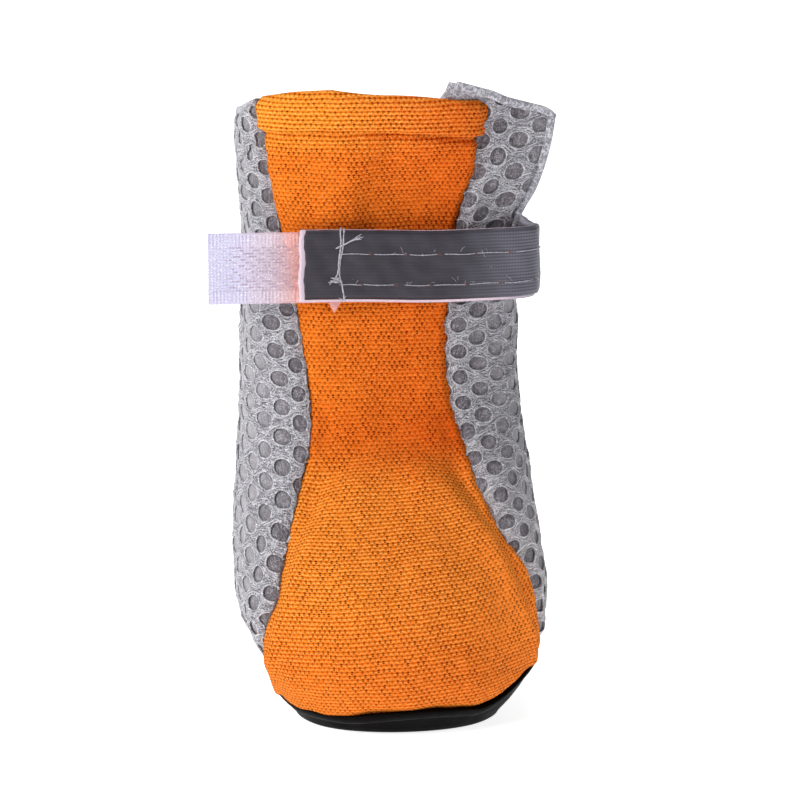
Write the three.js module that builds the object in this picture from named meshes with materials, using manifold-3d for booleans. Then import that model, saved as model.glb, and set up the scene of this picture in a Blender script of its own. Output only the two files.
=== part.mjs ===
// Dog boot: a knitted front, spacer-mesh sides, a wrap strap and a moulded rubber sole.
// Millimetres. +Z is up, the toe points along -Y, and the tread stands on z = 0.
// An angle around the boot is 0 at the toe, +90 at the +X side and 180 at the heel.

import * as THREE from 'three';
import { mergeVertices } from 'three/addons/utils/BufferGeometryUtils.js';
import Module from 'manifold-3d';

const wasm = await Module();
wasm.setup();

// ---------------------------------------------------------------- driving sizes
const WALL = 2.2;                 // thickness of the upper
const GAP = 0.3;                  // clearance between pieces that touch
const SLIT_FOOT = 50;             // height where the back opening starts
const SEAM_ANGLE = 30;            // edge of the knitted front beside the flap
const FLAP_TURN = 13;             // degrees that the flap points back from straight sideways
const FLAP_START = 60;            // the side begins to leave the leg here and is flat at FLAP_FLAT
const FLAP_FLAT = 71;
const FLAP_RIM = 88.0;            // height of the flap's top edge at the seam
const FLAP_DROP = 2.9;            // how far that edge falls to its free corner

const SOLE_FLOOR = 1.8;           // inside bottom of the rubber dish
const SOLE_EDGE = 0.8;            // radius of the edge under the rim
const SOLE_PLATE = 0.8;           // underside between the lugs
const SPRING_START = 14;          // distance in front of the origin where the toe starts to rise
const SPRING_REACH = 12;
const SPRING_RISE = 1.6;
const ARCH_CENTRE = 9;
const ARCH_REACH = 7;
const ARCH_RISE = 0.6;
const LUG_FLATS = 4.2;
const LUG_PITCH = 5.5;
const LUG_MARGIN = 4.4;           // clear rubber between a lug and the sole's edge

const INSOLE_THICKNESS = 2.0;
const INSOLE_INSET = 2.6;

const STRAP_WIDTH = 10;
const STRAP_FOOT = 59.2;          // height of the strap's lower edge
const TAPE_THICKNESS = 1.0;
const REFLECTIVE_THICKNESS = 0.5;
const REFLECTIVE_INSET = 0.25;    // white tape left showing along each edge
const HOOK_THICKNESS = 0.8;
const HOOK_DROP = 0.6;

// ---------------------------------------------------------------- the last
// Outside of the boot, one row for each level. half is half the width; front and back are
// how far it reaches from the origin; waist is how far forward it is widest; the powers make
// each half round (2) or flat-faced (more); sway moves the level towards +X.
const LAST = [
  { height: 0, half: 14.2, front: 23.2, back: 22.0, waist: 10.0, frontPower: 2.0, backPower: 2.5, sway: 0.7 },
  { height: 3, half: 16.6, front: 25.2, back: 24.0, waist: 10.0, frontPower: 2.0, backPower: 2.5, sway: 0.7 },
  { height: 7, half: 19.2, front: 27.2, back: 25.2, waist: 10.0, frontPower: 2.05, backPower: 2.5, sway: 0.7 },
  { height: 12, half: 21.5, front: 27.8, back: 25.8, waist: 9.0, frontPower: 2.1, backPower: 2.5, sway: 0.5 },
  { height: 18, half: 22.3, front: 26.6, back: 25.6, waist: 6.5, frontPower: 2.15, backPower: 2.45, sway: 0.3 },
  { height: 24, half: 22.1, front: 22.8, back: 24.9, waist: 2.5, frontPower: 2.25, backPower: 2.4, sway: 0.1 },
  { height: 30, half: 21.6, front: 17.0, back: 24.0, waist: -2.0, frontPower: 2.45, backPower: 2.4, sway: 0.1 },
  { height: 36, half: 20.9, front: 11.6, back: 23.2, waist: -5.0, frontPower: 2.75, backPower: 2.4, sway: 0.1 },
  { height: 42, half: 20.4, front: 8.0, back: 22.5, waist: -8.0, frontPower: 3.1, backPower: 2.4, sway: 0.1 },
  { height: 50, half: 20.0, front: 6.4, back: 21.8, waist: -9.0, frontPower: 3.4, backPower: 2.4, sway: 0 },
  { height: 58, half: 19.8, front: 6.0, back: 21.2, waist: -9.0, frontPower: 3.5, backPower: 2.4, sway: 0 },
  { height: 68, half: 20.0, front: 6.4, back: 20.6, waist: -9.0, frontPower: 3.4, backPower: 2.4, sway: 0 },
  { height: 78, half: 20.6, front: 8.0, back: 20.4, waist: -9.0, frontPower: 3.2, backPower: 2.4, sway: 0 },
  { height: 90, half: 21.0, front: 9.0, back: 20.2, waist: -9.0, frontPower: 3.2, backPower: 2.4, sway: 0 },
];

// Where the upper meets the rubber, around the boot.
const FEATHER = [
  { angle: -210, height: 4.8 },
  { angle: -180, height: 4.6 },
  { angle: -140, height: 5.2 },
  { angle: -105, height: 5.8 },
  { angle: -88, height: 4.6 },
  { angle: -72, height: 3.1 },
  { angle: -50, height: 3.0 },
  { angle: -29, height: 3.1 },
  { angle: -11, height: 3.9 },
  { angle: 9, height: 4.3 },
  { angle: 25, height: 4.0 },
  { angle: 41, height: 3.5 },
  { angle: 52, height: 4.2 },
  { angle: 62, height: 5.8 },
  { angle: 74, height: 7.2 },
  { angle: 92, height: 7.0 },
  { angle: 120, height: 5.8 },
  { angle: 150, height: 4.8 },
];

// Top of the collar from the back opening round to the flap's seam. The step is where the
// flap's hem stands up behind the knitted front.
const COLLAR = [
  { angle: -195, height: 82.0 },
  { angle: -150, height: 82.2 },
  { angle: -110, height: 83.0 },
  { angle: -85, height: 84.6 },
  { angle: -53, height: 87.0 },
  { angle: -30, height: 87.9 },
  { angle: -13, height: 88.2 },
  { angle: 0, height: 87.4 },
  { angle: 15, height: 86.6 },
  { angle: 20, height: 89.2 },
  { angle: 30, height: FLAP_RIM },
];

// The two edges of the back opening.
const OPENING = [
  { height: 50, flapEdge: 150, backEdge: -210 },
  { height: 56, flapEdge: 118, backEdge: -208 },
  { height: 62, flapEdge: 82, backEdge: -204 },
  { height: 66, flapEdge: 60, backEdge: -202 },
  { height: 70, flapEdge: 57, backEdge: -200 },
  { height: 74, flapEdge: 65, backEdge: -198 },
  { height: 79, flapEdge: 70, backEdge: -197 },
  { height: 88, flapEdge: 73, backEdge: -195 },
];

// ---------------------------------------------------------------- reading the tables
function rowBelow(table, key, value) {
  let row = 0;
  while (row < table.length - 2 && value >= table[row + 1][key]) row += 1;
  return row;
}

function straight(table, key, column, value) {
  const row = rowBelow(table, key, value);
  const span = table[row + 1][key] - table[row][key];
  const t = THREE.MathUtils.clamp((value - table[row][key]) / span, 0, 1);
  return THREE.MathUtils.lerp(table[row][column], table[row + 1][column], t);
}

function slopeAt(table, key, column, row) {
  const rise = (a, b) => (table[b][column] - table[a][column]) / (table[b][key] - table[a][key]);
  if (row === 0) return rise(0, 1);
  if (row === table.length - 1) return rise(row - 1, row);
  const before = table[row][key] - table[row - 1][key];
  const after = table[row + 1][key] - table[row][key];
  return (rise(row - 1, row) * after + rise(row, row + 1) * before) / (before + after);
}

// A smooth curve through every row, flat beyond the ends.
function smooth(table, key, column, value) {
  const row = rowBelow(table, key, value);
  const span = table[row + 1][key] - table[row][key];
  const t = THREE.MathUtils.clamp((value - table[row][key]) / span, 0, 1);
  const startSlope = slopeAt(table, key, column, row) * span;
  const endSlope = slopeAt(table, key, column, row + 1) * span;
  const start = table[row][column];
  const end = table[row + 1][column];
  const rest = 1 - t;
  return (1 + 2 * t) * rest * rest * start + t * rest * rest * startSlope
    + t * t * (3 - 2 * t) * end - t * t * rest * endSlope;
}

// ---------------------------------------------------------------- the boot's outside
function lastPoint(angle, height) {
  const level = (column) => smooth(LAST, 'height', column, height);
  const radians = THREE.MathUtils.degToRad(angle);
  const sine = Math.sin(radians);
  const cosine = Math.cos(radians);
  const forward = cosine >= 0;
  const power = level(forward ? 'frontPower' : 'backPower');
  const waist = level('waist');
  const reach = forward ? level('front') - waist : level('back') + waist;
  const x = level('sway') + level('half') * Math.sign(sine) * Math.abs(sine) ** (2 / power);
  const y = -waist - Math.sign(cosine) * reach * Math.abs(cosine) ** (2 / power);
  return new THREE.Vector3(x, y, height);
}

function girthBetween(fromAngle, toAngle, height) {
  const steps = 24;
  let length = 0;
  let last = lastPoint(fromAngle, height);
  for (let step = 1; step <= steps; step += 1) {
    const next = lastPoint(THREE.MathUtils.lerp(fromAngle, toAngle, step / steps), height);
    length += next.distanceTo(last);
    last = next;
  }
  return length;
}

// Beyond its seam the +X side leaves the leg and stands out flat, as an opened flap.
function upperPoint(angle, height) {
  const round = lastPoint(angle, height);
  if (angle <= SEAM_ANGLE) return round;
  const flatness = THREE.MathUtils.smoothstep(height, FLAP_START, FLAP_FLAT);
  if (flatness === 0) return round;
  const seam = lastPoint(SEAM_ANGLE, height);
  const turn = THREE.MathUtils.degToRad(FLAP_TURN);
  const girth = girthBetween(SEAM_ANGLE, angle, height);
  const flat = new THREE.Vector3(Math.cos(turn), Math.sin(turn), 0).multiplyScalar(girth).add(seam);
  return round.lerp(flat, flatness);
}

function spring(y) {
  const beyond = Math.max(0, -SPRING_START - y) / SPRING_REACH;
  return SPRING_RISE * beyond * beyond;
}

function arch(y) {
  const t = Math.min(1, Math.abs(y - ARCH_CENTRE) / ARCH_REACH);
  return ARCH_RISE * (1 - t * t) ** 2;
}

// ---------------------------------------------------------------- closed skins
class Skin {
  constructor() {
    this.positions = [];
    this.faces = [];
  }

  ring(points) {
    const first = this.positions.length / 3;
    points.forEach((point) => this.positions.push(point.x, point.y, point.z));
    return points.map((point, index) => first + index);
  }

  quad(a, b, c, d) {
    this.faces.push(a, b, c, a, c, d);
  }

  strip(lower, upper) {
    for (let i = 0; i < lower.length - 1; i += 1) this.quad(lower[i], lower[i + 1], upper[i + 1], upper[i]);
  }

  hoop(lower, upper) {
    this.strip([...lower, lower[0]], [...upper, upper[0]]);
  }

  fan(ring, centre) {
    const [hub] = this.ring([centre]);
    for (let i = 0; i < ring.length; i += 1) this.faces.push(ring[i], ring[(i + 1) % ring.length], hub);
  }

  geometry() {
    const raw = new THREE.BufferGeometry();
    raw.setAttribute('position', new THREE.Float32BufferAttribute(this.positions, 3));
    raw.setIndex(this.faces);
    return facingOut(tidied(raw));
  }
}

// Shared corners are merged, and triangles that shrank to a line are dropped.
function tidied(geometry) {
  const merged = mergeVertices(geometry, 1e-5);
  const kept = [];
  const index = merged.index.array;
  for (let i = 0; i < index.length; i += 3) {
    const [a, b, c] = [index[i], index[i + 1], index[i + 2]];
    if (a !== b && b !== c && c !== a) kept.push(a, b, c);
  }
  merged.setIndex(kept);
  return merged;
}

function facingOut(geometry) {
  const index = geometry.index.array;
  const corner = (i) => new THREE.Vector3().fromBufferAttribute(geometry.attributes.position, index[i]);
  let volume = 0;
  for (let i = 0; i < index.length; i += 3) volume += corner(i).dot(corner(i + 1).cross(corner(i + 2)));
  if (volume > 0) return geometry;
  const turned = [];
  for (let i = 0; i < index.length; i += 3) turned.push(index[i], index[i + 2], index[i + 1]);
  geometry.setIndex(turned);
  return geometry;
}

function toManifold(geometry) {
  const plain = geometry.clone();
  plain.deleteAttribute('normal');
  plain.deleteAttribute('uv');
  const merged = mergeVertices(plain);
  return new wasm.Manifold(new wasm.Mesh({
    numProp: 3,
    vertProperties: new Float32Array(merged.attributes.position.array),
    triVerts: new Uint32Array(merged.index.array),
  }));
}

function fromManifold(solid) {
  const mesh = solid.getMesh();
  const geometry = new THREE.BufferGeometry();
  geometry.setAttribute('position', new THREE.BufferAttribute(mesh.vertProperties, 3));
  geometry.setIndex(new THREE.BufferAttribute(mesh.triVerts, 1));
  return geometry;
}

// ---------------------------------------------------------------- upper
const LEFT_COLUMNS = 24;
const FRONT_COLUMNS = 12;
const FLAP_COLUMNS = 14;
const UPPER_COLUMNS = LEFT_COLUMNS + FRONT_COLUMNS + FLAP_COLUMNS;
const UPPER_ROWS = 28;
const SLIT_ROW = 16;

function columnAngle(column, height) {
  const backEdge = smooth(OPENING, 'height', 'backEdge', height);
  const flapEdge = smooth(OPENING, 'height', 'flapEdge', height);
  if (column < LEFT_COLUMNS) return THREE.MathUtils.lerp(backEdge, -SEAM_ANGLE, column / LEFT_COLUMNS);
  const afterLeft = column - LEFT_COLUMNS;
  if (afterLeft <= FRONT_COLUMNS) {
    return THREE.MathUtils.lerp(-SEAM_ANGLE, SEAM_ANGLE, afterLeft / FRONT_COLUMNS);
  }
  return THREE.MathUtils.lerp(SEAM_ANGLE, flapEdge, (afterLeft - FRONT_COLUMNS) / FLAP_COLUMNS);
}

function collarHeight(column) {
  const alongFlap = (column - LEFT_COLUMNS - FRONT_COLUMNS) / FLAP_COLUMNS;
  if (alongFlap > 0) return FLAP_RIM - FLAP_DROP * alongFlap;
  return straight(COLLAR, 'angle', 'height', columnAngle(column, FLAP_RIM));
}

// Rows rise evenly from the feather line to the foot of the opening, and on to the collar.
function upperGridPoint(column, row) {
  const foot = smooth(FEATHER, 'angle', 'height', columnAngle(column, 0));
  const height = row <= SLIT_ROW
    ? THREE.MathUtils.lerp(foot, SLIT_FOOT, row / SLIT_ROW)
    : THREE.MathUtils.lerp(SLIT_FOOT, collarHeight(column), (row - SLIT_ROW) / (UPPER_ROWS - SLIT_ROW));
  return upperPoint(columnAngle(column, height), height);
}

function makeUpper() {
  const outside = [];
  for (let row = 0; row <= UPPER_ROWS; row += 1) {
    const points = [];
    for (let column = 0; column <= UPPER_COLUMNS; column += 1) points.push(upperGridPoint(column, row));
    if (row <= SLIT_ROW) points[UPPER_COLUMNS] = points[0].clone();
    outside.push(points);
  }

  const neighbour = (row, column, step) => {
    const closed = row <= SLIT_ROW;
    const next = column + step;
    if (next >= 0 && next <= UPPER_COLUMNS) return outside[row][next];
    return closed ? outside[row][(next + UPPER_COLUMNS) % UPPER_COLUMNS] : outside[row][column];
  };
  const inside = outside.map((points, row) => points.map((point, column) => {
    const along = neighbour(row, column, 1).clone().sub(neighbour(row, column, -1));
    const above = outside[Math.min(row + 1, UPPER_ROWS)][column];
    const below = outside[Math.max(row - 1, 0)][column];
    const inward = above.clone().sub(below).cross(along);
    if (row === 0) inward.set(-along.y, along.x, 0);
    return inward.normalize().multiplyScalar(WALL).add(point);
  }));
  inside.slice(0, SLIT_ROW + 1).forEach((points) => points[UPPER_COLUMNS].copy(points[0]));

  const skin = new Skin();
  const outer = outside.map((points) => skin.ring(points));
  const inner = inside.map((points) => skin.ring(points));
  for (let row = 0; row < UPPER_ROWS; row += 1) {
    skin.strip(outer[row], outer[row + 1]);
    skin.strip(inner[row + 1], inner[row]);
    if (row >= SLIT_ROW) {
      skin.quad(inner[row][0], outer[row][0], outer[row + 1][0], inner[row + 1][0]);
      skin.quad(outer[row][UPPER_COLUMNS], inner[row][UPPER_COLUMNS],
        inner[row + 1][UPPER_COLUMNS], outer[row + 1][UPPER_COLUMNS]);
    }
  }
  skin.strip(inner[0], outer[0]);
  skin.strip(outer[UPPER_ROWS], inner[UPPER_ROWS]);
  return skin.geometry();
}

// ---------------------------------------------------------------- outsole and insole
const SOLE_COLUMNS = 60;
const SOLE_RINGS = [0.86, 0.7, 0.52, 0.34, 0.16];   // share of the outline's size

// Points round the last at a height, or a height that depends on the angle, moved inwards.
function soleRing(heightAt, inset) {
  const points = [];
  for (let i = 0; i < SOLE_COLUMNS; i += 1) {
    const angle = -180 + (360 * i) / SOLE_COLUMNS;
    points.push(lastPoint(angle, heightAt(angle)));
  }
  return points.map((point, i) => {
    const next = points[(i + 1) % SOLE_COLUMNS];
    const before = points[(i + SOLE_COLUMNS - 1) % SOLE_COLUMNS];
    const inward = new THREE.Vector3(before.y - next.y, next.x - before.x, 0).normalize();
    return inward.multiplyScalar(inset).add(point);
  });
}

function settled(points, height) {
  return points.map((point) => new THREE.Vector3(point.x, point.y, height + spring(point.y)));
}

// The same outline drawn in towards the middle of the boot.
function shrunk(points, scale, heightAt) {
  return points.map((point) => new THREE.Vector3(point.x * scale, point.y * scale, heightAt(point.y * scale)));
}

function featherAt(angle) {
  return smooth(FEATHER, 'angle', 'height', angle < -180 ? angle + 360 : angle);
}

function makeOutsole() {
  const top = (angle) => featherAt(angle) - GAP;
  const wallRow = (t) => soleRing((angle) => THREE.MathUtils.lerp(SOLE_PLATE + SOLE_EDGE, top(angle), t), 0);
  const plateAt = (y) => SOLE_PLATE + spring(y) + arch(y);
  const floorAt = (y) => SOLE_FLOOR + spring(y);
  const low = soleRing(() => SOLE_PLATE + SOLE_EDGE, 0);
  const bottomEdge = soleRing(() => SOLE_PLATE, SOLE_EDGE).map((p) => new THREE.Vector3(p.x, p.y, plateAt(p.y)));
  const lowEdge = low.map((p) => new THREE.Vector3(p.x, p.y, p.z + spring(p.y)));
  const dishEdge = settled(soleRing(() => SOLE_FLOOR, WALL), SOLE_FLOOR);

  const skin = new Skin();
  const rings = [bottomEdge, lowEdge, wallRow(0.6), wallRow(1), soleRing(top, WALL), dishEdge]
    .map((points) => skin.ring(points));
  for (let i = 0; i < rings.length - 1; i += 1) skin.hoop(rings[i], rings[i + 1]);
  const cover = (edge, points, heightAt) => {
    let previous = edge;
    SOLE_RINGS.forEach((scale) => {
      const next = skin.ring(shrunk(points, scale, heightAt));
      skin.hoop(previous, next);
      previous = next;
    });
    skin.fan(previous, new THREE.Vector3(0, 0, heightAt(0)));
  };
  cover(rings[5], dishEdge, floorAt);
  cover([...rings[0]].reverse(), [...bottomEdge].reverse(), plateAt);

  let sole = toManifold(skin.geometry());
  lugCentres().forEach(({ x, y }) => {
    const foot = spring(y) + arch(y);
    const height = SOLE_FLOOR - 0.4;
    const lug = new THREE.CylinderGeometry(LUG_FLATS / Math.sqrt(3), LUG_FLATS / Math.sqrt(3), height, 6);
    lug.rotateX(Math.PI / 2);
    lug.translate(x, y, foot + height / 2);
    sole = sole.add(toManifold(lug));
  });
  return fromManifold(sole);
}

function lugCentres() {
  const centres = [];
  const rowPitch = (LUG_PITCH * Math.sqrt(3)) / 2;
  const edge = soleRing(() => SOLE_PLATE, LUG_MARGIN);
  const outline = new THREE.Shape(edge.map((point) => new THREE.Vector2(point.x, point.y)));
  const corners = outline.getPoints();
  for (let row = -5; row <= 5; row += 1) {
    for (let column = -4; column <= 4; column += 1) {
      const x = (column + (Math.abs(row) % 2) / 2) * LUG_PITCH;
      const y = row * rowPitch;
      if (insideOutline(x, y, corners)) centres.push({ x, y });
    }
  }
  return centres;
}

function insideOutline(x, y, corners) {
  let inside = false;
  corners.forEach((a, i) => {
    const b = corners[(i + 1) % corners.length];
    const crosses = (a.y > y) !== (b.y > y);
    if (crosses && x < ((b.x - a.x) * (y - a.y)) / (b.y - a.y) + a.x) inside = !inside;
  });
  return inside;
}

function makeInsole() {
  const outline = soleRing(() => SOLE_FLOOR, INSOLE_INSET);
  const under = SOLE_FLOOR + GAP;
  const faceAt = (height) => (y) => height + spring(y);
  const skin = new Skin();
  const lower = skin.ring(settled(outline, under));
  const upper = skin.ring(settled(outline, under + INSOLE_THICKNESS));
  skin.hoop(lower, upper);
  const cover = (edge, points, heightAt) => {
    const middle = skin.ring(shrunk(points, 0.6, heightAt));
    skin.hoop(edge, middle);
    skin.fan(middle, new THREE.Vector3(0, 0, heightAt(0)));
  };
  cover(upper, outline, faceAt(under + INSOLE_THICKNESS));
  cover([...lower].reverse(), [...outline].reverse(), faceAt(under));
  return skin.geometry();
}

// ---------------------------------------------------------------- strap
// Middle of the woven tape seen from above, from its cut end in front, round the +X side in
// a loose loop, and along the back to where it is sewn on.
const TAPE_ROUTE = [
  [-12.9, -8.3], [-7, -8.2], [0, -7.9], [8, -7.7], [14, -7.3], [17.8, -6.7], [20.3, -5.2], [21.3, -2.6],
  [21.4, 1.5], [21.1, 6.0], [20.6, 11.0], [18.8, 16.0], [15.5, 19.2], [11, 21.2], [5, 22.2], [-2, 22.4],
  [-8, 21.9], [-12.3, 20.9],
];
const TAPE_STEPS = 64;
const REFLECTIVE_START = 0.008;   // fractions of the tape's length
const REFLECTIVE_END = 0.86;
const HOOK_TIP = -25.4;
const HOOK_ROOT = -7.5;
const HOOK_FACE = -6.75;          // inner face, towards the boot

const tapeCurve = new THREE.SplineCurve(TAPE_ROUTE.map(([x, y]) => new THREE.Vector2(x, y)));

// A band that follows the tape between two distances from its middle.
function band(start, end, inner, outer, foot, width) {
  const side = (distance) => {
    const points = [];
    const steps = Math.round(TAPE_STEPS * (end - start));
    for (let step = 0; step <= steps; step += 1) {
      const along = THREE.MathUtils.lerp(start, end, step / steps);
      const tangent = tapeCurve.getTangentAt(along);
      const outward = new THREE.Vector2(tangent.y, -tangent.x);
      points.push(outward.multiplyScalar(distance).add(tapeCurve.getPointAt(along)));
    }
    return points;
  };
  const outline = new THREE.Shape([...side(inner), ...side(outer).reverse()]);
  const geometry = new THREE.ExtrudeGeometry(outline, { depth: width, bevelEnabled: false });
  geometry.translate(0, 0, foot);
  return geometry;
}

function makeStrapBase() {
  return band(0, 1, -TAPE_THICKNESS / 2, TAPE_THICKNESS / 2, STRAP_FOOT, STRAP_WIDTH);
}

function makeStrapReflective() {
  const inner = TAPE_THICKNESS / 2 + GAP;
  return band(REFLECTIVE_START, REFLECTIVE_END, inner, inner + REFLECTIVE_THICKNESS,
    STRAP_FOOT + REFLECTIVE_INSET, STRAP_WIDTH - 2 * REFLECTIVE_INSET);
}

function makeStrapHookEnd() {
  const geometry = new THREE.BoxGeometry(HOOK_ROOT - HOOK_TIP, HOOK_THICKNESS, STRAP_WIDTH);
  geometry.translate((HOOK_ROOT + HOOK_TIP) / 2, HOOK_FACE - HOOK_THICKNESS / 2,
    STRAP_FOOT + STRAP_WIDTH / 2 - HOOK_DROP);
  return geometry;
}

// ---------------------------------------------------------------- the boot
const SPACER_GREY = { color: 0x9d9da6, roughness: 0.8, metalness: 0 };
const RUBBER_BLACK = { color: 0x1b1719, roughness: 0.6, metalness: 0 };
const FOAM_GREY = { color: 0x55535a, roughness: 0.95, metalness: 0 };
const TAPE_WHITE = { color: 0xdedbe8, roughness: 0.7, metalness: 0 };
const REFLECTIVE_GREY = { color: 0x55525c, roughness: 0.45, metalness: 0.2 };
const HOOK_CLEAR = { color: 0xe4e2f2, roughness: 0.4, metalness: 0 };

const boot = new THREE.Group();

function addPiece(name, geometry, finish) {
  const piece = new THREE.Mesh(geometry, new THREE.MeshStandardMaterial(finish));
  piece.name = name;
  boot.add(piece);
}

addPiece('outsole', makeOutsole(), RUBBER_BLACK);
addPiece('insole', makeInsole(), FOAM_GREY);
addPiece('upper', makeUpper(), SPACER_GREY);
addPiece('strap_base', makeStrapBase(), TAPE_WHITE);
addPiece('strap_reflective', makeStrapReflective(), REFLECTIVE_GREY);
addPiece('strap_hook_end', makeStrapHookEnd(), HOOK_CLEAR);

export default boot;
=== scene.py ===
import math
import random

import bpy
import numpy as np
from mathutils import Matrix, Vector


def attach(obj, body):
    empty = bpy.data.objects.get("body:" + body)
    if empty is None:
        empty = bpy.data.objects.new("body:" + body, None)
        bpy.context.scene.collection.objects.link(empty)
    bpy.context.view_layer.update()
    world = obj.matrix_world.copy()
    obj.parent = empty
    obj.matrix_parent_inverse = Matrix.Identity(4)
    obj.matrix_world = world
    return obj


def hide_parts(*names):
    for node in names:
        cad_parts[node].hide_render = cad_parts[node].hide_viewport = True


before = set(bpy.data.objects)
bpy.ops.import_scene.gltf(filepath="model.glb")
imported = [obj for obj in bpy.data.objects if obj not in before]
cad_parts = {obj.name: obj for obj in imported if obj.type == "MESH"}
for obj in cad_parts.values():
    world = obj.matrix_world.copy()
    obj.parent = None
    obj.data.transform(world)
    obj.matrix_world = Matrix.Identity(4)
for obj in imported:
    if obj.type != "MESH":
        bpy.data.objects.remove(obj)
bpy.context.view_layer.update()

# Dog boot: a knitted front, spacer-mesh sides, a wrap strap and a moulded rubber sole.
# Sizes are worked out in millimetres and turned to metres when a piece is finished.
# The toe points along -Y, +Z is up, and an angle round the boot is 0 at the toe, +90 at +X.

MM = 0.001
BODY = "root"
draw = random.Random(7)

# ---------------------------------------------------------------- the last
# height, half width, front, back, waist, front power, back power, sway
LAST = np.array([
    (0, 14.2, 23.2, 22.0, 10.0, 2.0, 2.5, 0.7),
    (3, 16.6, 25.2, 24.0, 10.0, 2.0, 2.5, 0.7),
    (7, 19.2, 27.2, 25.2, 10.0, 2.05, 2.5, 0.7),
    (12, 21.5, 27.8, 25.8, 9.0, 2.1, 2.5, 0.5),
    (18, 22.3, 26.6, 25.6, 6.5, 2.15, 2.45, 0.3),
    (24, 22.1, 22.8, 24.9, 2.5, 2.25, 2.4, 0.1),
    (30, 21.6, 17.0, 24.0, -2.0, 2.45, 2.4, 0.1),
    (36, 20.9, 11.6, 23.2, -5.0, 2.75, 2.4, 0.1),
    (42, 20.4, 8.0, 22.5, -8.0, 3.1, 2.4, 0.1),
    (50, 20.0, 6.4, 21.8, -9.0, 3.4, 2.4, 0.0),
    (58, 19.8, 6.0, 21.2, -9.0, 3.5, 2.4, 0.0),
    (68, 20.0, 6.4, 20.6, -9.0, 3.4, 2.4, 0.0),
    (78, 20.6, 8.0, 20.4, -9.0, 3.2, 2.4, 0.0),
    (90, 21.0, 9.0, 20.2, -9.0, 3.2, 2.4, 0.0),
])
# Where the cloth meets the rubber: angle, height.
FEATHER = np.array([
    (-210, 4.8), (-180, 4.6), (-140, 5.2), (-105, 5.8), (-88, 4.6), (-72, 3.1), (-50, 3.0),
    (-29, 3.1), (-11, 3.9), (9, 4.3), (25, 4.0), (41, 3.6), (52, 4.7), (62, 6.7), (74, 8.0),
    (92, 7.4), (120, 5.8), (150, 4.8),
])
# Top of the collar from the back opening to the flap's seam: angle, height.
COLLAR = np.array([
    (-195, 82.0), (-150, 82.2), (-110, 83.0), (-85, 84.6), (-53, 87.0), (-30, 87.9),
    (-13, 88.2), (0, 87.4), (15, 86.6), (40, 86.2),
])
# The two edges of the back opening: height, angle of the flap's edge, angle of the other edge.
OPENING = np.array([
    (50, 150, -210), (56, 118, -208), (62, 82, -204), (66, 60, -202), (70, 57, -200),
    (74, 65, -198), (79, 70, -197), (88, 73, -195),
])
SEAM_ANGLE = 30
FLAP_TURN = math.radians(13)
FLAP_START = 60
FLAP_FLAT = 71
FLAP_RIM = 88.0
FLAP_DROP = 2.9
WALL = 2.2


def slopes(xs, ys):
    """Slope of a smooth curve at each of its points."""
    steps = np.diff(xs)
    rises = np.diff(ys) / steps
    found = np.empty(len(xs))
    found[0] = rises[0]
    found[-1] = rises[-1]
    found[1:-1] = (rises[:-1] * steps[1:] + rises[1:] * steps[:-1]) / (steps[:-1] + steps[1:])
    return found


def smooth(table, column, value):
    """A smooth curve through a table's rows, flat beyond the ends."""
    xs = table[:, 0]
    ys = table[:, column]
    tangent = slopes(xs, ys)
    value = np.clip(value, xs[0], xs[-1])
    row = np.clip(np.searchsorted(xs, value, side="right") - 1, 0, len(xs) - 2)
    span = xs[row + 1] - xs[row]
    t = (value - xs[row]) / span
    rest = 1 - t
    return ((1 + 2 * t) * rest * rest * ys[row] + t * rest * rest * span * tangent[row]
            + t * t * (3 - 2 * t) * ys[row + 1] - t * t * rest * span * tangent[row + 1])


def ramp(value, low, high):
    """Rises smoothly from 0 at low to 1 at high."""
    t = np.clip((value - low) / (high - low), 0, 1)
    return t * t * (3 - 2 * t)


def hump(value, centre, reach):
    """1 at the centre, falling softly to nothing."""
    return np.exp(-((value - centre) / reach) ** 2)


def last_xy(angle, height):
    radians = np.radians(angle)
    sine = np.sin(radians)
    cosine = np.cos(radians)
    half, front, back, waist, front_power, back_power, sway = (
        smooth(LAST, column, height) for column in range(1, 8))
    power = np.where(cosine >= 0, front_power, back_power)
    reach = np.where(cosine >= 0, front - waist, back + waist)
    x = sway + half * np.sign(sine) * np.abs(sine) ** (2 / power)
    y = -waist - np.sign(cosine) * reach * np.abs(cosine) ** (2 / power)
    return x, y


# Positions and distances round the boot from the front line, read at close steps. The steps
# crowd together at the four quarters, where the outline turns fastest.
HEIGHT_STEP = 0.25
HEIGHTS = np.arange(0, 93, HEIGHT_STEP)
CROWDING = 2.2
QUARTER = 1 - (1 - np.linspace(0, 1, 46)[:-1]) ** CROWDING
FAR_ANGLES = (-216, 157)          # a little past the two edges of the back opening
BETWEEN = np.sort(np.concatenate([-45 * QUARTER[1:], 45 * QUARTER])) + 45
ANGLES = np.concatenate([90 * turn + BETWEEN for turn in range(-3, 2)] + [90.0 * np.arange(-3, 3)])
ANGLES = np.sort(ANGLES)
ANGLES = ANGLES[(ANGLES > FAR_ANGLES[0]) & (ANGLES < FAR_ANGLES[1])]
ARCS = np.arange(-95, 80, 0.2)
grid_x, grid_y = last_xy(ANGLES[None, :], HEIGHTS[:, None])
lengths = np.hypot(np.diff(grid_x, axis=1), np.diff(grid_y, axis=1))
ARC_TABLE = np.concatenate([np.zeros((len(HEIGHTS), 1)), np.cumsum(lengths, axis=1)], axis=1)
ARC_TABLE -= ARC_TABLE[:, [int(np.argmin(np.abs(ANGLES)))]]
ANGLE_TABLE = np.array([np.interp(ARCS, row, ANGLES) for row in ARC_TABLE])
X_TABLE = np.array([np.interp(ARCS, row, line) for row, line in zip(ARC_TABLE, grid_x)])
Y_TABLE = np.array([np.interp(ARCS, row, line) for row, line in zip(ARC_TABLE, grid_y)])


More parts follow.
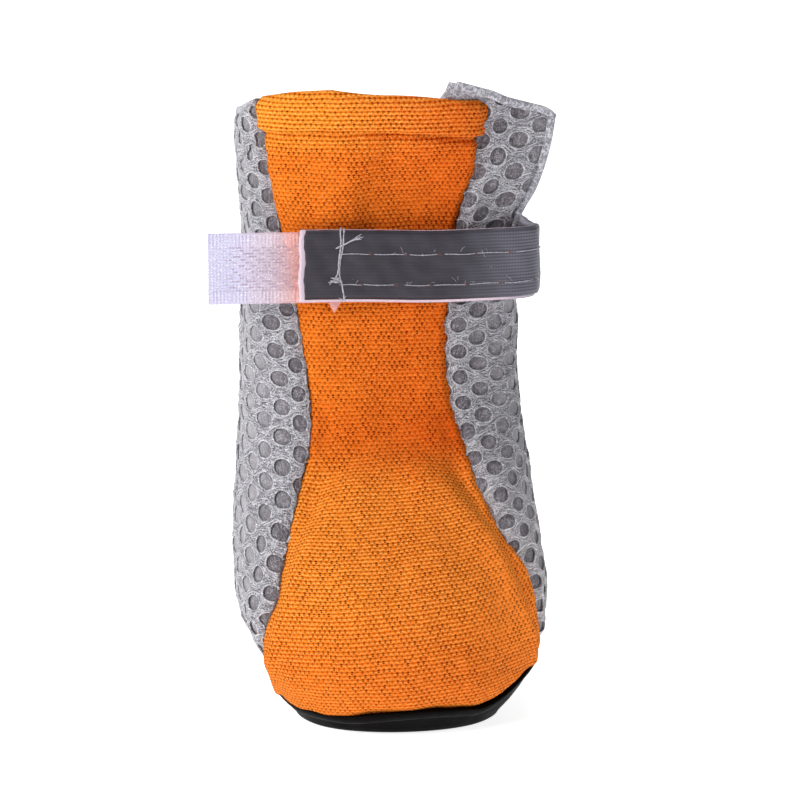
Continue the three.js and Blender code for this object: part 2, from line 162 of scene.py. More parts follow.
def look_up(table, across, value, height):
    """Reads a table of heights by steps of another measure."""
    value = np.asarray(value, float)
    row = np.clip(np.asarray(height, float) / HEIGHT_STEP, 0, len(HEIGHTS) - 1.001)
    r = row.astype(int)
    fr = row - r
    c = np.clip(np.searchsorted(across, value, side="right") - 1, 0, len(across) - 2)
    fc = np.clip((value - across[c]) / (across[c + 1] - across[c]), 0, 1)
    return ((table[r, c] * (1 - fc) + table[r, c + 1] * fc) * (1 - fr)
            + (table[r + 1, c] * (1 - fc) + table[r + 1, c + 1] * fc) * fr)


def angle_at(arc, height):
    return look_up(ANGLE_TABLE, ARCS, arc, height)


def arc_at(angle, height):
    return look_up(ARC_TABLE, ANGLES, angle, height)


def boot_point(arc, height):
    """Point of the boot's outside, by distance round from the front line and height."""
    arc, height = np.broadcast_arrays(np.asarray(arc, float), np.asarray(height, float))
    x = look_up(X_TABLE, ARCS, arc, height)
    y = look_up(Y_TABLE, ARCS, arc, height)
    seam_x, seam_y = last_xy(np.full_like(height, SEAM_ANGLE), height)
    beyond = arc - arc_at(np.full_like(height, SEAM_ANGLE), height)
    flat = np.where(beyond > 0, ramp(height, FLAP_START, FLAP_FLAT), 0)
    x = x + flat * (seam_x + beyond * math.cos(FLAP_TURN) - x)
    y = y + flat * (seam_y + beyond * math.sin(FLAP_TURN) - y)
    return np.stack([x, y, height], -1)


def boot_normal(arc, height):
    step = 0.3
    along = boot_point(arc + step, height) - boot_point(arc - step, height)
    up = boot_point(arc, height + step) - boot_point(arc, height - step)
    normal = np.cross(along, up)
    return normal / np.linalg.norm(normal, axis=-1, keepdims=True)


def lifted(arc, height, lift):
    return boot_point(arc, height) + boot_normal(arc, height) * np.asarray(lift)[..., None]


# ---------------------------------------------------------------- seams and edges
# Height and distance from the front line of the two seams beside the knitted front.
LEFT_SEAM = np.array([
    (0, -28.6), (4, -28.6), (7, -27.7), (10.25, -25.6), (13, -24.1), (16, -22.6), (18.75, -20.5),
    (22.75, -18.8), (26.5, -17.0), (30.25, -15.3), (34, -13.6),
    (38, -12.1), (41.75, -11.5), (46, -11.6),
    (51.5, -12.2), (57.75, -13.4), (68.75, -16.1), (72.75, -17.2), (77, -18.2), (82, -19.5),
    (87, -20.9), (90, -21.4),
])
RIGHT_SEAM = np.array([
    (0, 30.6), (4, 30.0), (8, 28.9), (11, 26.8), (13.5, 25.0), (15.75, 24.0), (17.25, 23.4),
    (20, 22.3), (23, 20.4), (25.75, 17.7), (29.75, 14.8),
    (33.5, 12.5), (37.5, 11.1), (41.5, 9.7), (44.25, 8.7),
    (47, 8.4), (51.25, 8.2), (54, 8.2), (57.5, 8.7), (68.5, 10.0), (72.5, 11.1), (76.75, 12.4),
    (81, 13.0), (85.75, 13.8), (90, 14.2),
])


def left_seam(height):
    return smooth(LEFT_SEAM, 1, height)


def right_seam(height):
    return smooth(RIGHT_SEAM, 1, height)


def left_back(height):
    return arc_at(smooth(OPENING, 2, height), height)


def right_back(height):
    return arc_at(smooth(OPENING, 1, height), height)


def foot_at(arc):
    """Height of the feather line at a distance round from the front line."""
    height = np.full_like(np.asarray(arc, float), 5.0)
    for _ in range(4):
        height = smooth(FEATHER, 1, angle_at(arc, height))
    return height


def collar_at(arc):
    angle = angle_at(arc, np.full_like(np.asarray(arc, float), 86.0))
    return np.interp(angle, COLLAR[:, 0], COLLAR[:, 1])


FLAP_ROOT = float(arc_at(np.array(30.0), np.array(86.0)))
FLAP_EDGE = float(right_back(np.array(86.0)))
FLAP_CORNER = 2.6


def flap_top_at(arc):
    """Top edge of the flap, which slopes down to a rounded free corner."""
    share = (arc - FLAP_ROOT) / (FLAP_EDGE - FLAP_ROOT)
    into_corner = np.clip((arc - (FLAP_EDGE - FLAP_CORNER)) / FLAP_CORNER, 0, 1)
    drop = FLAP_CORNER * 0.45 * (1 - np.sqrt(1 - into_corner ** 2))
    dip = 0.1 + 0.4 * ramp(arc, 14, 17.5)
    return FLAP_RIM - dip - FLAP_DROP * np.clip(share, -0.6, 1) - drop


# ---------------------------------------------------------------- modelling by hand
def only(*objects):
    """Selects these objects alone, with the first one active."""
    bpy.ops.object.select_all(action="DESELECT")
    for obj in objects:
        obj.select_set(True)
    bpy.context.view_layer.objects.active = objects[0]


def edit(obj, mode="EDGE"):
    only(obj)
    bpy.ops.object.mode_set(mode="EDIT")
    bpy.ops.mesh.select_mode(type=mode)


def done():
    bpy.ops.object.mode_set(mode="OBJECT")


def pick_none(obj, mode="EDGE"):
    edit(obj, mode)
    bpy.ops.mesh.select_all(action="DESELECT")
    done()


def on_all(obj, mode, tool, **settings):
    """Uses one modelling tool on the whole of a mesh."""
    edit(obj, mode)
    bpy.ops.mesh.select_all(action="SELECT")
    tool(**settings)
    done()


def face_outwards(obj):
    on_all(obj, "FACE", bpy.ops.mesh.normals_make_consistent, inside=False)


def named(name):
    obj = bpy.context.object
    obj.name = name
    obj.data.name = name
    return obj


def modify(obj, kind, **settings):
    only(obj)
    modifier = obj.modifiers.new(kind.title(), kind)
    for key, value in settings.items():
        setattr(modifier, key, value)
    bpy.ops.object.modifier_apply(modifier=modifier.name)


def corners(obj):
    flat = np.empty(len(obj.data.vertices) * 3, np.float32)
    obj.data.vertices.foreach_get("co", flat)
    return flat.reshape(-1, 3).astype(float)


def move_corners(obj, points):
    obj.data.vertices.foreach_set("co", np.asarray(points, np.float32).ravel())
    obj.data.update()


def paint_uv(obj, layer, values):
    """Writes a UV map from one value for each corner of the mesh, in millimetres of cloth."""
    if layer not in obj.data.uv_layers:
        obj.data.uv_layers.new(name=layer)
    index = np.empty(len(obj.data.loops), np.int32)
    obj.data.loops.foreach_get("vertex_index", index)
    obj.data.uv_layers[layer].data.foreach_set("uv", np.asarray(values, np.float32)[index].ravel())


def drop_maps(obj):
    while obj.data.uv_layers:
        obj.data.uv_layers.remove(obj.data.uv_layers[0])


def flat_cloth(name, columns, rows):
    """A flat grid, and how far each of its corners is across and up it, from 0 to 1."""
    bpy.ops.object.select_all(action="DESELECT")
    bpy.ops.mesh.primitive_grid_add(x_subdivisions=columns, y_subdivisions=rows, size=1,
                                    location=(0.5, 0.5, 0))
    bpy.ops.object.transform_apply(location=True)
    cloth = named(name)
    drop_maps(cloth)
    flat = corners(cloth)
    return cloth, flat[:, 0], flat[:, 1]


def lay_cloth(cloth, points, thickness, offset=-1, **maps):
    """Moves a cloth's corners to their places, draws its UV maps and gives it its thickness."""
    for layer, (along, up) in maps.items():
        paint_uv(cloth, layer, np.stack([along, up], -1))
    move_corners(cloth, points * MM)
    modify(cloth, "SOLIDIFY", thickness=thickness * MM, offset=offset, use_even_offset=False)


def finish_piece(obj, finish, slot, *nodes):
    """Gives a finished piece its material and its place in the model."""
    only(obj)
    bpy.ops.object.shade_smooth()
    obj.data.materials.clear()
    obj.data.materials.append(finish)
    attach(obj, BODY)
    if nodes:
        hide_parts(*nodes)


# ---------------------------------------------------------------- shader maths
class Wire:
    """The output of a shader node. Sums on it add Math nodes."""

    def __init__(self, finish, socket):
        self.finish = finish
        self.socket = socket

    def math(self, operation, *values):
        return self.finish.node("ShaderNodeMath", {"operation": operation}, [self, *values])

    def __add__(self, other):
        return self.math("ADD", other)

    def __sub__(self, other):
        return self.math("SUBTRACT", other)

    def __rsub__(self, other):
        return self.finish.node("ShaderNodeMath", {"operation": "SUBTRACT"}, [other, self])

    def __mul__(self, other):
        return self.math("MULTIPLY", other)

    def __truediv__(self, other):
        return self.math("DIVIDE", other)

    def __pow__(self, other):
        return self.math("POWER", other)

    __radd__ = __add__
    __rmul__ = __mul__

    def absolute(self):
        return self.math("ABSOLUTE")

    def floor(self):
        return self.math("FLOOR")

    def ripple(self, pitch):
        """A wave from 0 to 1 that repeats every pitch."""
        return (self * (2 * math.pi / pitch)).math("SINE") * 0.5 + 0.5


class Finish:
    """One material, made node by node."""

    def __init__(self, name):
        self.material = bpy.data.materials.new(name)
        self.material.use_nodes = True
        self.tree = self.material.node_tree
        self.shader = self.tree.nodes["Principled BSDF"]

    def node(self, kind, settings=None, inputs=None, output=0):
        made = self.tree.nodes.new(kind)
        for key, value in (settings or {}).items():
            setattr(made, key, value)
        pairs = inputs.items() if isinstance(inputs, dict) else enumerate(inputs or [])
        for key, value in pairs:
            self.put(made.inputs[key], value)
        return Wire(self, made.outputs[output])

    def put(self, socket, value):
        if isinstance(value, Wire):
            self.tree.links.new(value.socket, socket)
        else:
            socket.default_value = value

    def set(self, **values):
        for key, value in values.items():
            self.put(self.shader.inputs[key.replace("_", " ")], value)

    def uv(self, layer):
        return self.split(self.node("ShaderNodeUVMap", {"uv_map": layer}))

    def place(self):
        """Object coordinates in millimetres."""
        found = self.node("ShaderNodeTexCoord", output=3)
        return self.node("ShaderNodeVectorMath", {"operation": "SCALE"}, {0: found, 3: 1000.0})

    def split(self, vector):
        parts = self.node("ShaderNodeSeparateXYZ", None, [vector])
        outputs = parts.socket.node.outputs
        return [Wire(self, outputs[axis]) for axis in range(3)]

    def join(self, x, y, z=0.0):
        return self.node("ShaderNodeCombineXYZ", None, [x, y, z])

    def noise(self, vector, scale, detail=2.0, roughness=0.5):
        return self.node("ShaderNodeTexNoise", None,
                         {"Vector": vector, "Scale": scale, "Detail": detail, "Roughness": roughness})

    def step(self, value, low, high):
        return self.node("ShaderNodeMapRange", {"interpolation_type": "SMOOTHSTEP"},
                         [value, low, high, 0.0, 1.0])

    def close(self, value, target, low, high):
        """1 where a value is within low of the target, falling to 0 at high."""
        return 1 - self.step((value - target).absolute(), low, high)

    def mix(self, factor, first, second):
        return self.node("ShaderNodeMix", {"data_type": "RGBA"}, {0: factor, 6: first, 7: second}, 2)

    def coats(self, colour, *layers):
        """Lays colours over one another, each as (how much of it shows, colour)."""
        for factor, coat in layers:
            colour = self.mix(factor, colour, coat)
        return colour

    def bump(self, height, strength, distance, under=None):
        inputs = {"Height": height, "Strength": strength, "Distance": distance * MM}
        if under is not None:
            inputs["Normal"] = under
        return self.node("ShaderNodeBump", None, inputs)


def paint(red, green, blue):
    """A colour as it looks on a screen, 0 to 255, in linear light."""
    linear = [((c / 255 + 0.055) / 1.055) ** 2.4 if c > 10 else c / 255 / 12.92
              for c in (red, green, blue)]
    return (*linear, 1.0)


# ---------------------------------------------------------------- finishes
KNIT_BODY = paint(215, 91, 15)
KNIT_WARM = paint(225, 101, 20)
KNIT_CROWN = paint(255, 176, 80)
# a darker orange, for random dark flecks and for painted shade
KNIT_DARK_TONE_AND_SHADE = paint(196, 70, 8)
KNIT_PIN = paint(90, 18, 0)
# painted light: a yellower orange where the key light falls
KNIT_PAINTED_LIGHT = paint(248, 156, 36)
# painted light for the right side of the toe
KNIT_PAINTED_TOE_LIGHT = paint(255, 138, 50)
KNIT_GLINT = paint(255, 212, 138)
STRAP_FOOT = 59.2
STRAP_WIDTH = 10.0
COURSE = 0.585                    # height of one row of the knit
WALE = 0.73                       # width of one stitch
CELL_WIDE = 3.2                   # from one column of mesh cells to the next
CELL_HIGH = 3.95                  # from one cell to the one above
HOLE_HALF_WIDE = 1.4
HOLE_HALF_HIGH = 1.07
MESH_THICK = 0.3


def knit_finish():
    knit = Finish("orange_double_knit")
    u, v, _ = knit.uv("Cloth")
    flat = knit.join(u, v)
    drift = knit.noise(flat, 0.16, 2.0) - 0.5
    jitter = knit.noise(flat, 1.3, 1.0) - 0.5
    row = (v + drift * 0.5 + jitter * 0.09) / COURSE
    off_row = (row - row.floor() - 0.5).absolute()
    groove = knit.step(off_row, 0.2, 0.5)

    def pins(rows, wide, high, spread):
        """Dark pin marks in staggered rows, each with its own strength."""
        line = (rows + 0.5).floor()
        off = (rows - line).absolute()
        across = u / WALE + line * 0.5 + jitter * 0.25
        stitch = across.floor()
        near = (across - stitch - 0.5).absolute()
        chance = knit.node("ShaderNodeTexWhiteNoise", {"noise_dimensions": "2D"},
                           {"Vector": knit.join(stitch, line)})
        reach = (near * WALE / wide) ** 2.0 + (off * COURSE / high) ** 2.0
        return (1 - knit.step(reach, 0.15, 1.5)) * (1 - spread + chance * spread), near

    hole, near = pins(row, 0.21, 0.14, 0.62)
    small, _ = pins(row + 0.5, 0.18, 0.12, 0.9)
    loop = (1 - knit.step(off_row, 0.08, 0.3)) * knit.step(near, 0.1, 0.35)
    stitch = knit.step(near, 0.05, 0.42)
    fuzz = knit.noise(knit.join(u * 0.6, v), 4.2, 2.0, 0.7)
    patch = knit.step(knit.noise(flat, 0.1, 3.0), 0.3, 0.7)
    strong = knit.step(knit.noise(flat, 0.22, 2.0), 0.25, 0.7)
    high = knit.split(knit.place())[2]
    toe = 1 - knit.step(high, 30.0, 41.0)
    hem = knit.step(high, 78.0, 83.0)
    fleck = knit.noise(flat, 4.0, 2.0, 0.8)
    # the -X side, which faces the key light and gets painted light
    west = 1 - knit.step(u, -12.0, 4.0)
    # masks for painted shade on the +X side, the lower toe and the band above the toe
    east = knit.step(u, -2.0, 12.0) * (1 - toe)
    low = toe * (1 - knit.step(high, 8.0, 22.0))
    bend_shade = knit.step(high, 34.0, 39.0) * (1 - knit.step(high, 40.0, 47.0))
    # the right side of the toe, above its lowest part, which gets painted light
    lit_toe_side = toe * knit.step(u, 8.0, 17.0) * knit.step(high, 8.0, 16.0)
    colour = knit.coats(
        knit.mix(patch, KNIT_BODY, KNIT_WARM),
        (knit.step(fleck, 0.5, 0.7) * 0.6, KNIT_CROWN),
        ((1 - knit.step(fleck, 0.32, 0.5)) * 0.35, KNIT_DARK_TONE_AND_SHADE),
        # painted light on the toe, the hem and the -X side, which face the key light
        (toe * 0.24 + hem * (0.1 + west * 0.35) + west * 0.12, KNIT_PAINTED_LIGHT),
        # lighter loop crowns: the knit's pattern, with a painted highlight that is stronger on the toe
        # and hem
        (loop * knit.step(fuzz, 0.35, 0.6) * (0.5 + toe * 0.9 + hem * 0.9), KNIT_CROWN),
        (knit.step(fleck, 0.56, 0.7) * (toe + hem) * 0.55, KNIT_GLINT),
        # grooves between the rows: the knit's pattern, with painted shade in them that is stronger on the
        # toe and hem
        (groove * (0.15 + strong * 0.12 + toe * 0.34 + hem * 0.3), KNIT_DARK_TONE_AND_SHADE),
        # painted shade on the +X side, the lower toe and the band above the toe
        (east * 0.42 + low * 0.35 + bend_shade * 0.3, KNIT_DARK_TONE_AND_SHADE),
        # painted light on the right side of the toe
        (lit_toe_side * 0.8, KNIT_PAINTED_TOE_LIGHT),
        (small * (0.95 - hem * 0.4), KNIT_PIN),
        (hole * (0.85 + strong * 0.15), KNIT_PIN))
    crowned = (1 - groove) * 0.35 + stitch * (1 - groove) * 0.25
    height = crowned - hole * 0.8 - small * 0.4 + fuzz * 0.45 + loop * 0.3
    knit.set(Base_Color=colour, Roughness=0.85, Normal=knit.bump(height, 0.7, 0.17),
             Sheen_Weight=0.25, Sheen_Roughness=0.45, Specular_IOR_Level=0.06)
    knit.shader.inputs["Sheen Tint"].default_value = paint(255, 180, 60)
    return knit.material


def east_and_upper(finish):
    """Masks of the +X side of the boot and of its upper half, where shade and light are painted."""
    side, _, high = finish.split(finish.place())
    return finish.step(side, 5.0, 12.0), finish.step(high, 22.0, 42.0)


def mesh_face_finish():
    """The outer face of the spacer mesh, between its yarns."""
    face = Finish("spacer_mesh_face")
    u, v, _ = face.uv("Cloth")
    x, y, _ = face.uv("Cell")
    flat = face.join(u, v)
    out = (x / HOLE_HALF_WIDE) ** 2.0 + (y / HOLE_HALF_HIGH) ** 2.0
    out = out.math("SQRT")
    ring = face.close(out, 1.1, 0.02, 0.11)
    threads = face.noise(face.join(u * 0.35, v * 3.2), 1.5, 3.0, 0.65)
    grain_and_glints = face.noise(flat, 4.5, 2.0, 0.75)
    base = face.mix(face.step(threads, 0.3, 0.72), paint(54, 50, 58), paint(98, 95, 104))
    broken = face.step(face.noise(flat, 1.1, 2.0), 0.4, 0.6)
    streak = face.close(threads, 0.52, 0.012, 0.05)
    base = face.mix(streak * (0.25 + broken * 0.3), base, paint(204, 203, 212))
    for scale in (1.0, 1.7, 2.6):
        web = face.noise(face.join(u * 0.7, v * 1.5), scale, 2.0, 0.6)
        strand = face.close(web, 0.5, 0.006, 0.035)
        base = face.mix(strand * (0.15 + broken * 0.45), base, paint(204, 204, 213))
    east, upper = east_and_upper(face)
    colour = face.coats(
        base,
        (ring * (0.3 + broken * 0.6), paint(206, 206, 215)),
        # painted glints on the strands
        (face.step(grain_and_glints, 0.54, 0.68) * 0.85, paint(250, 250, 255)),
        ((1 - face.step(grain_and_glints, 0.34, 0.48)) * 0.62, paint(46, 42, 50)),
        # a little darker overall, with painted shade on the upper +X side
        (east * upper * 0.12 + 0.06, paint(40, 36, 44)),
        # painted light on the lower +X side
        (east * (1 - upper) * 0.22, paint(226, 218, 218)),
        ((1 - face.step(out, 0.93, 1.02)) * 0.8, paint(126, 122, 132)))
    height = threads * 0.5 + grain_and_glints * 0.6 + ring * 0.2
    face.set(Base_Color=colour, Roughness=0.6, Normal=face.bump(height, 0.7, 0.2),
             Sheen_Weight=0.3, Sheen_Roughness=0.35, Specular_IOR_Level=0.4)
    return face.material


def mesh_yarn_finish():
    yarn = Finish("spacer_mesh_yarn")
    u, v, _ = yarn.uv("Cloth")
    flat = yarn.join(u, v)
    twist = yarn.noise(yarn.join(u * 4.0, v * 1.2), 2.2, 2.0, 0.6)
    glint = yarn.noise(flat, 3.6, 2.0, 0.75)
    fade = yarn.step(yarn.noise(flat, 0.8, 2.0), 0.35, 0.65)
    base = yarn.mix(yarn.step(twist, 0.3, 0.75), paint(112, 110, 120), paint(200, 200, 209))
    east, upper = east_and_upper(yarn)
    colour = yarn.coats(
        base,
        (fade * 0.42, paint(240, 240, 247)),
        (yarn.step(glint, 0.56, 0.75) * 0.75, paint(246, 246, 252)),
        # painted shade on the upper +X side
        (east * upper * 0.08, paint(60, 56, 64)),
        # painted light on the lower +X side
        (east * (1 - upper) * 0.4, paint(252, 248, 248)))
    yarn.set(Base_Color=colour, Roughness=0.45, Normal=yarn.bump(twist, 0.5, 0.08),
             Sheen_Weight=0.25, Sheen_Roughness=0.3, Specular_IOR_Level=0.5)
    return yarn.material


def mesh_back_finish():
    """The darker inner layer that shows through the open cells."""
    back = Finish("spacer_mesh_back")
    u, v, _ = back.uv("Cloth")
    edge, _, _ = back.uv("Edge")
    flat = back.join(u, v)
    lines = back.noise(back.join(u * 2.6, v * 0.5), 1.5, 3.0, 0.7)
    fuzz = back.noise(flat, 4.2, 3.0, 0.75)
    web = back.noise(flat, 0.9, 2.0, 0.6)
    strand = back.close(web, 0.5, 0.005, 0.035)
    base = back.mix(back.step(lines, 0.35, 0.7), paint(70, 64, 70), paint(112, 106, 114))
    cloudy = back.step(back.noise(flat, 0.16, 2.0), 0.4, 0.62)
    side, _, high = back.split(back.place())
    east = back.step(side, -5.0, 5.0)
    # painted light: the back grows paler away from the seam, less so on the +X side
    far = back.step(edge, 1.5, 10.0) * (1 - back.step(edge, 15.0, 21.0)) * (0.5 - east * 0.22)
    # painted shade: almost none of that paleness high on the +X side, under the flap
    pale = cloudy * 0.12 + far * (1 - east * back.step(high, 64.0, 72.0) * 0.8)
    colour = back.coats(
        base,
        # random paler clouds, and the painted light away from the seam
        (pale, paint(172, 169, 180)),
        (strand * (0.4 + pale * 0.4), paint(186, 184, 194)),
        (back.step(fuzz, 0.56, 0.7) * 0.75, paint(206, 204, 213)))
    back.set(Base_Color=colour, Roughness=0.8, Normal=back.bump(lines * 0.5 + fuzz, 0.9, 0.25),
             Sheen_Weight=0.5, Specular_IOR_Level=0.3)
    return back.material


def lining_finish():
    lining = Finish("lining_felt")
    place = lining.place()
    fuzz = lining.noise(place, 2.4, 3.0, 0.7)
    nap = lining.noise(place, 0.5, 2.0, 0.6)
    worn = lining.step(fuzz * 0.6 + nap * 0.4, 0.35, 0.7)
    colour = lining.mix(worn, paint(58, 56, 62), paint(96, 93, 102))
    lining.set(Base_Color=colour, Roughness=0.95, Normal=lining.bump(fuzz, 0.8, 0.2),
               Sheen_Weight=0.4, Specular_IOR_Level=0.2)
    return lining.material


def rubber_finish():
    rubber = Finish("black_sole_rubber")
    place = rubber.place()
    grain = rubber.noise(place, 3.0, 3.0, 0.6)
    scuff = rubber.noise(place, 0.35, 4.0, 0.6)
    colour = rubber.mix(rubber.step(scuff, 0.5, 0.75) * 0.35, paint(2, 1, 1), paint(8, 6, 7))
    rubber.set(Base_Color=colour, Roughness=rubber.step(scuff, 0.2, 0.8) * 0.2 + 0.5,
               Normal=rubber.bump(grain, 0.35, 0.12), Specular_IOR_Level=0.06)
    return rubber.material


def tape_finish():
    """White woven tape."""
    tape = Finish("white_woven_tape")
    u, v, _ = tape.uv("Cloth")
    warp = (v * (2 * math.pi / 0.42)).math("SINE")
    weft = (u * (2 * math.pi / 0.36)).math("SINE")
    weave = warp * weft * 0.5 + 0.5
    fuzz = tape.noise(tape.join(u, v), 2.5, 2.0, 0.6)
    raised_part = tape.step(weave * 0.7 + fuzz * 0.3, 0.2, 0.6)
    colour = tape.mix(raised_part, paint(180, 162, 180), paint(220, 202, 216))
    # painted shade on the tape where the strap turns round the side and goes behind the boot
    bend_shade = tape.step(u, 26.0, 34.0) * (1 - tape.step(u, 52.0, 64.0))
    colour = tape.mix(bend_shade * 0.75, colour, paint(116, 116, 134))
    tape.set(Base_Color=colour, Roughness=0.7, Normal=tape.bump(weave, 0.5, 0.12),
             Sheen_Weight=0.15)
    return tape.material


SILVER_FOOT = 59.25
SILVER_WIDTH = 9.75
STITCH_PITCH = 4.9
STITCH_LENGTH = 4.6
STITCH_ROWS = ((65.65, 5.4), (61.35, 4.1))     # height, and where the row's first stitch starts


def needle_marks(finish, u, v):
    """Small marks where the needle went through, between one stitch and the next."""
    marks = 0.0
    for height, start in STITCH_ROWS:
        step = (u - (start - 0.38)) / STITCH_PITCH + 0.5
        near = (step - step.floor() - 0.5) * STITCH_PITCH
        up = v - (height - SILVER_FOOT) + near * 0.35
        off = (near * 0.8) ** 2.0 + up ** 2.0
        marks = (1 - finish.step(off, 0.01, 0.09)) + marks
    return marks * finish.step(u, 7.0, 7.5)


def reflective_finish():
    """Dark silver reflective tape with fine cross ribs."""
    silver = Finish("dark_reflective_tape")
    u, v, _ = silver.uv("Cloth")
    flat = silver.join(u, v)
    ribs = v.ripple(0.45)
    dots = u.ripple(0.38)
    # where the tape turns to the right and catches the light
    bent = silver.step(u, 20.0, 33.0)
    rib = ribs * (0.25 + bent * 0.75)
    cloudy = silver.noise(silver.join(u * 0.25, v * 0.6), 0.9, 3.0, 0.55)
    grain = silver.noise(flat, 5.0, 2.0, 0.6)
    half = SILVER_WIDTH / 2
    edge = silver.step((v - half).absolute(), half - 0.4, half)
    lint = silver.noise(flat, 2.2, 1.0, 0.5)
    colour = silver.coats(
        silver.mix(silver.step(cloudy, 0.3, 0.75), paint(42, 39, 47), paint(53, 50, 59)),
        # painted light where the tape turns
        (bent * 0.5, paint(92, 92, 104)),
        # cross ribs, lighter on their crests, more so where the tape turns, with painted light there
        (rib * (0.5 + dots * 0.5) * (0.12 + bent * 0.45), paint(128, 128, 142)),
        (needle_marks(silver, u, v) * 0.6, paint(92, 56, 54)),
        (edge * 0.4, paint(48, 45, 52)),
        (silver.step(lint, 0.8, 0.84) * 0.8, paint(190, 190, 200)))
    rough = silver.step(grain, 0.2, 0.8) * 0.15 + 0.42
    silver.set(Base_Color=colour, Roughness=rough, Metallic=0.25, Specular_IOR_Level=0.4,
               Normal=silver.bump(rib * 0.6 + grain * 0.35, 0.35, 0.08))
    return silver.material


def hook_finish():
    """Clear nylon hook tape: ribbed edges, and short dashes across the middle."""
    hook = Finish("clear_hook_tape")
    u, v, _ = hook.uv("Cloth")
    flat = hook.join(u, v)
    across = (v - 5.0).absolute()
    selvage = hook.step(across, 2.9, 3.3)
    rib = u.ripple(0.46)
    bar = v.ripple(0.4)
    row = v / 0.43
    number = row.floor()
    slip = u / 2.1 + number * 0.37 + hook.noise(flat, 0.7, 1.0) * 1.6
    dash = hook.close(slip - slip.floor(), 0.5, 0.18, 0.3)
    line = hook.close(row - number, 0.5, 0.1, 0.34)
    mark = dash * line * (1 - selvage)
    fuzz = hook.noise(flat, 2.6, 3.0, 0.7)
    glint = hook.step(hook.noise(flat, 3.4, 2.0, 0.8), 0.57, 0.68)
    weave = rib * bar
    over = hook.step(u, 7.5, 13.5)
    marked = mark * hook.step(u, 5.5, 9.0) * (1 - hook.step(u, 16.5, 18.0))
    colour = hook.coats(
        hook.mix(weave * 0.55, paint(194, 190, 222), paint(226, 225, 244)),
        # painted light where the tape lies over the boot
        (over * 0.5, paint(250, 222, 230)),
        # painted light: the orange knit behind shows through the tape's end as a salmon tint
        (hook.step(u, 12.5, 17.0) * 0.6, paint(246, 172, 156)),
        (marked * 0.8, paint(140, 118, 146)),
        (glint * 0.8, paint(255, 255, 255)))
    veil = 0.82 - over * 0.42 + glint * 0.2 + weave * 0.08 + marked * 0.25 + selvage * over * 0.05
    hook.set(Base_Color=colour, Roughness=0.4, Alpha=veil, Specular_IOR_Level=0.5,
             Normal=hook.bump(weave * 0.7 + fuzz * 0.5 - mark * 0.5, 0.6, 0.14))
    return hook.material


def thread_finish():
    thread = Finish("white_sewing_thread")
    place = thread.place()
    fibre = thread.noise(place, 5.0, 2.0, 0.6)
    colour = thread.mix(thread.step(fibre, 0.3, 0.7), paint(118, 116, 128), paint(190, 189, 200))
    thread.set(Base_Color=colour, Roughness=0.6, Normal=thread.bump(fibre, 0.6, 0.08),
               Sheen_Weight=0.2)
    return thread.material


def rim_finish():
    """Folded mesh along the open edges, with its cells pulled shut."""
    rim = Finish("spacer_mesh_rim")
    place = rim.place()
    web = rim.noise(place, 0.9, 3.0, 0.65)
    strand = rim.close(web, 0.5, 0.01, 0.06)
    grain = rim.noise(place, 3.0, 2.0, 0.7)
    base = rim.mix(rim.step(grain, 0.3, 0.7), paint(112, 109, 119), paint(156, 155, 165))
    colour = rim.mix(strand * 0.8, base, paint(214, 214, 223))
    rim.set(Base_Color=colour, Roughness=0.6, Normal=rim.bump(strand * 0.5 + grain, 0.8, 0.2),
            Sheen_Weight=0.3, Specular_IOR_Level=0.4)
    return rim.material


KNIT = knit_finish()
MESH_FACE = mesh_face_finish()
MESH_YARN = mesh_yarn_finish()
MESH_BACK = mesh_back_finish()
LINING = lining_finish()
RUBBER = rubber_finish()
TAPE = tape_finish()
SILVER = reflective_finish()
HOOK = hook_finish()
THREAD = thread_finish()
MESH_RIM = rim_finish()

# ---------------------------------------------------------------- knitted front
# Distance from the front line and height of the groove under the hem.
HEM_GROOVE = np.array([
    (-20, 82.0), (-18.2, 82.0), (-9.8, 82.5), (-2.9, 82.25), (5.5, 81.75), (13, 81.0), (15, 80.9),
])
# Height and distance from the front line of the fold above the strap.
FOLD = np.array([
    (60, -5.6), (68.75, -6.0), (72.25, -6.0), (75.75, -5.2), (79.25, -3.0), (81, -1.0),
])
TUCK = 0.6                        # cloth that goes under the mesh at each seam
KNIT_THICK = 1.6


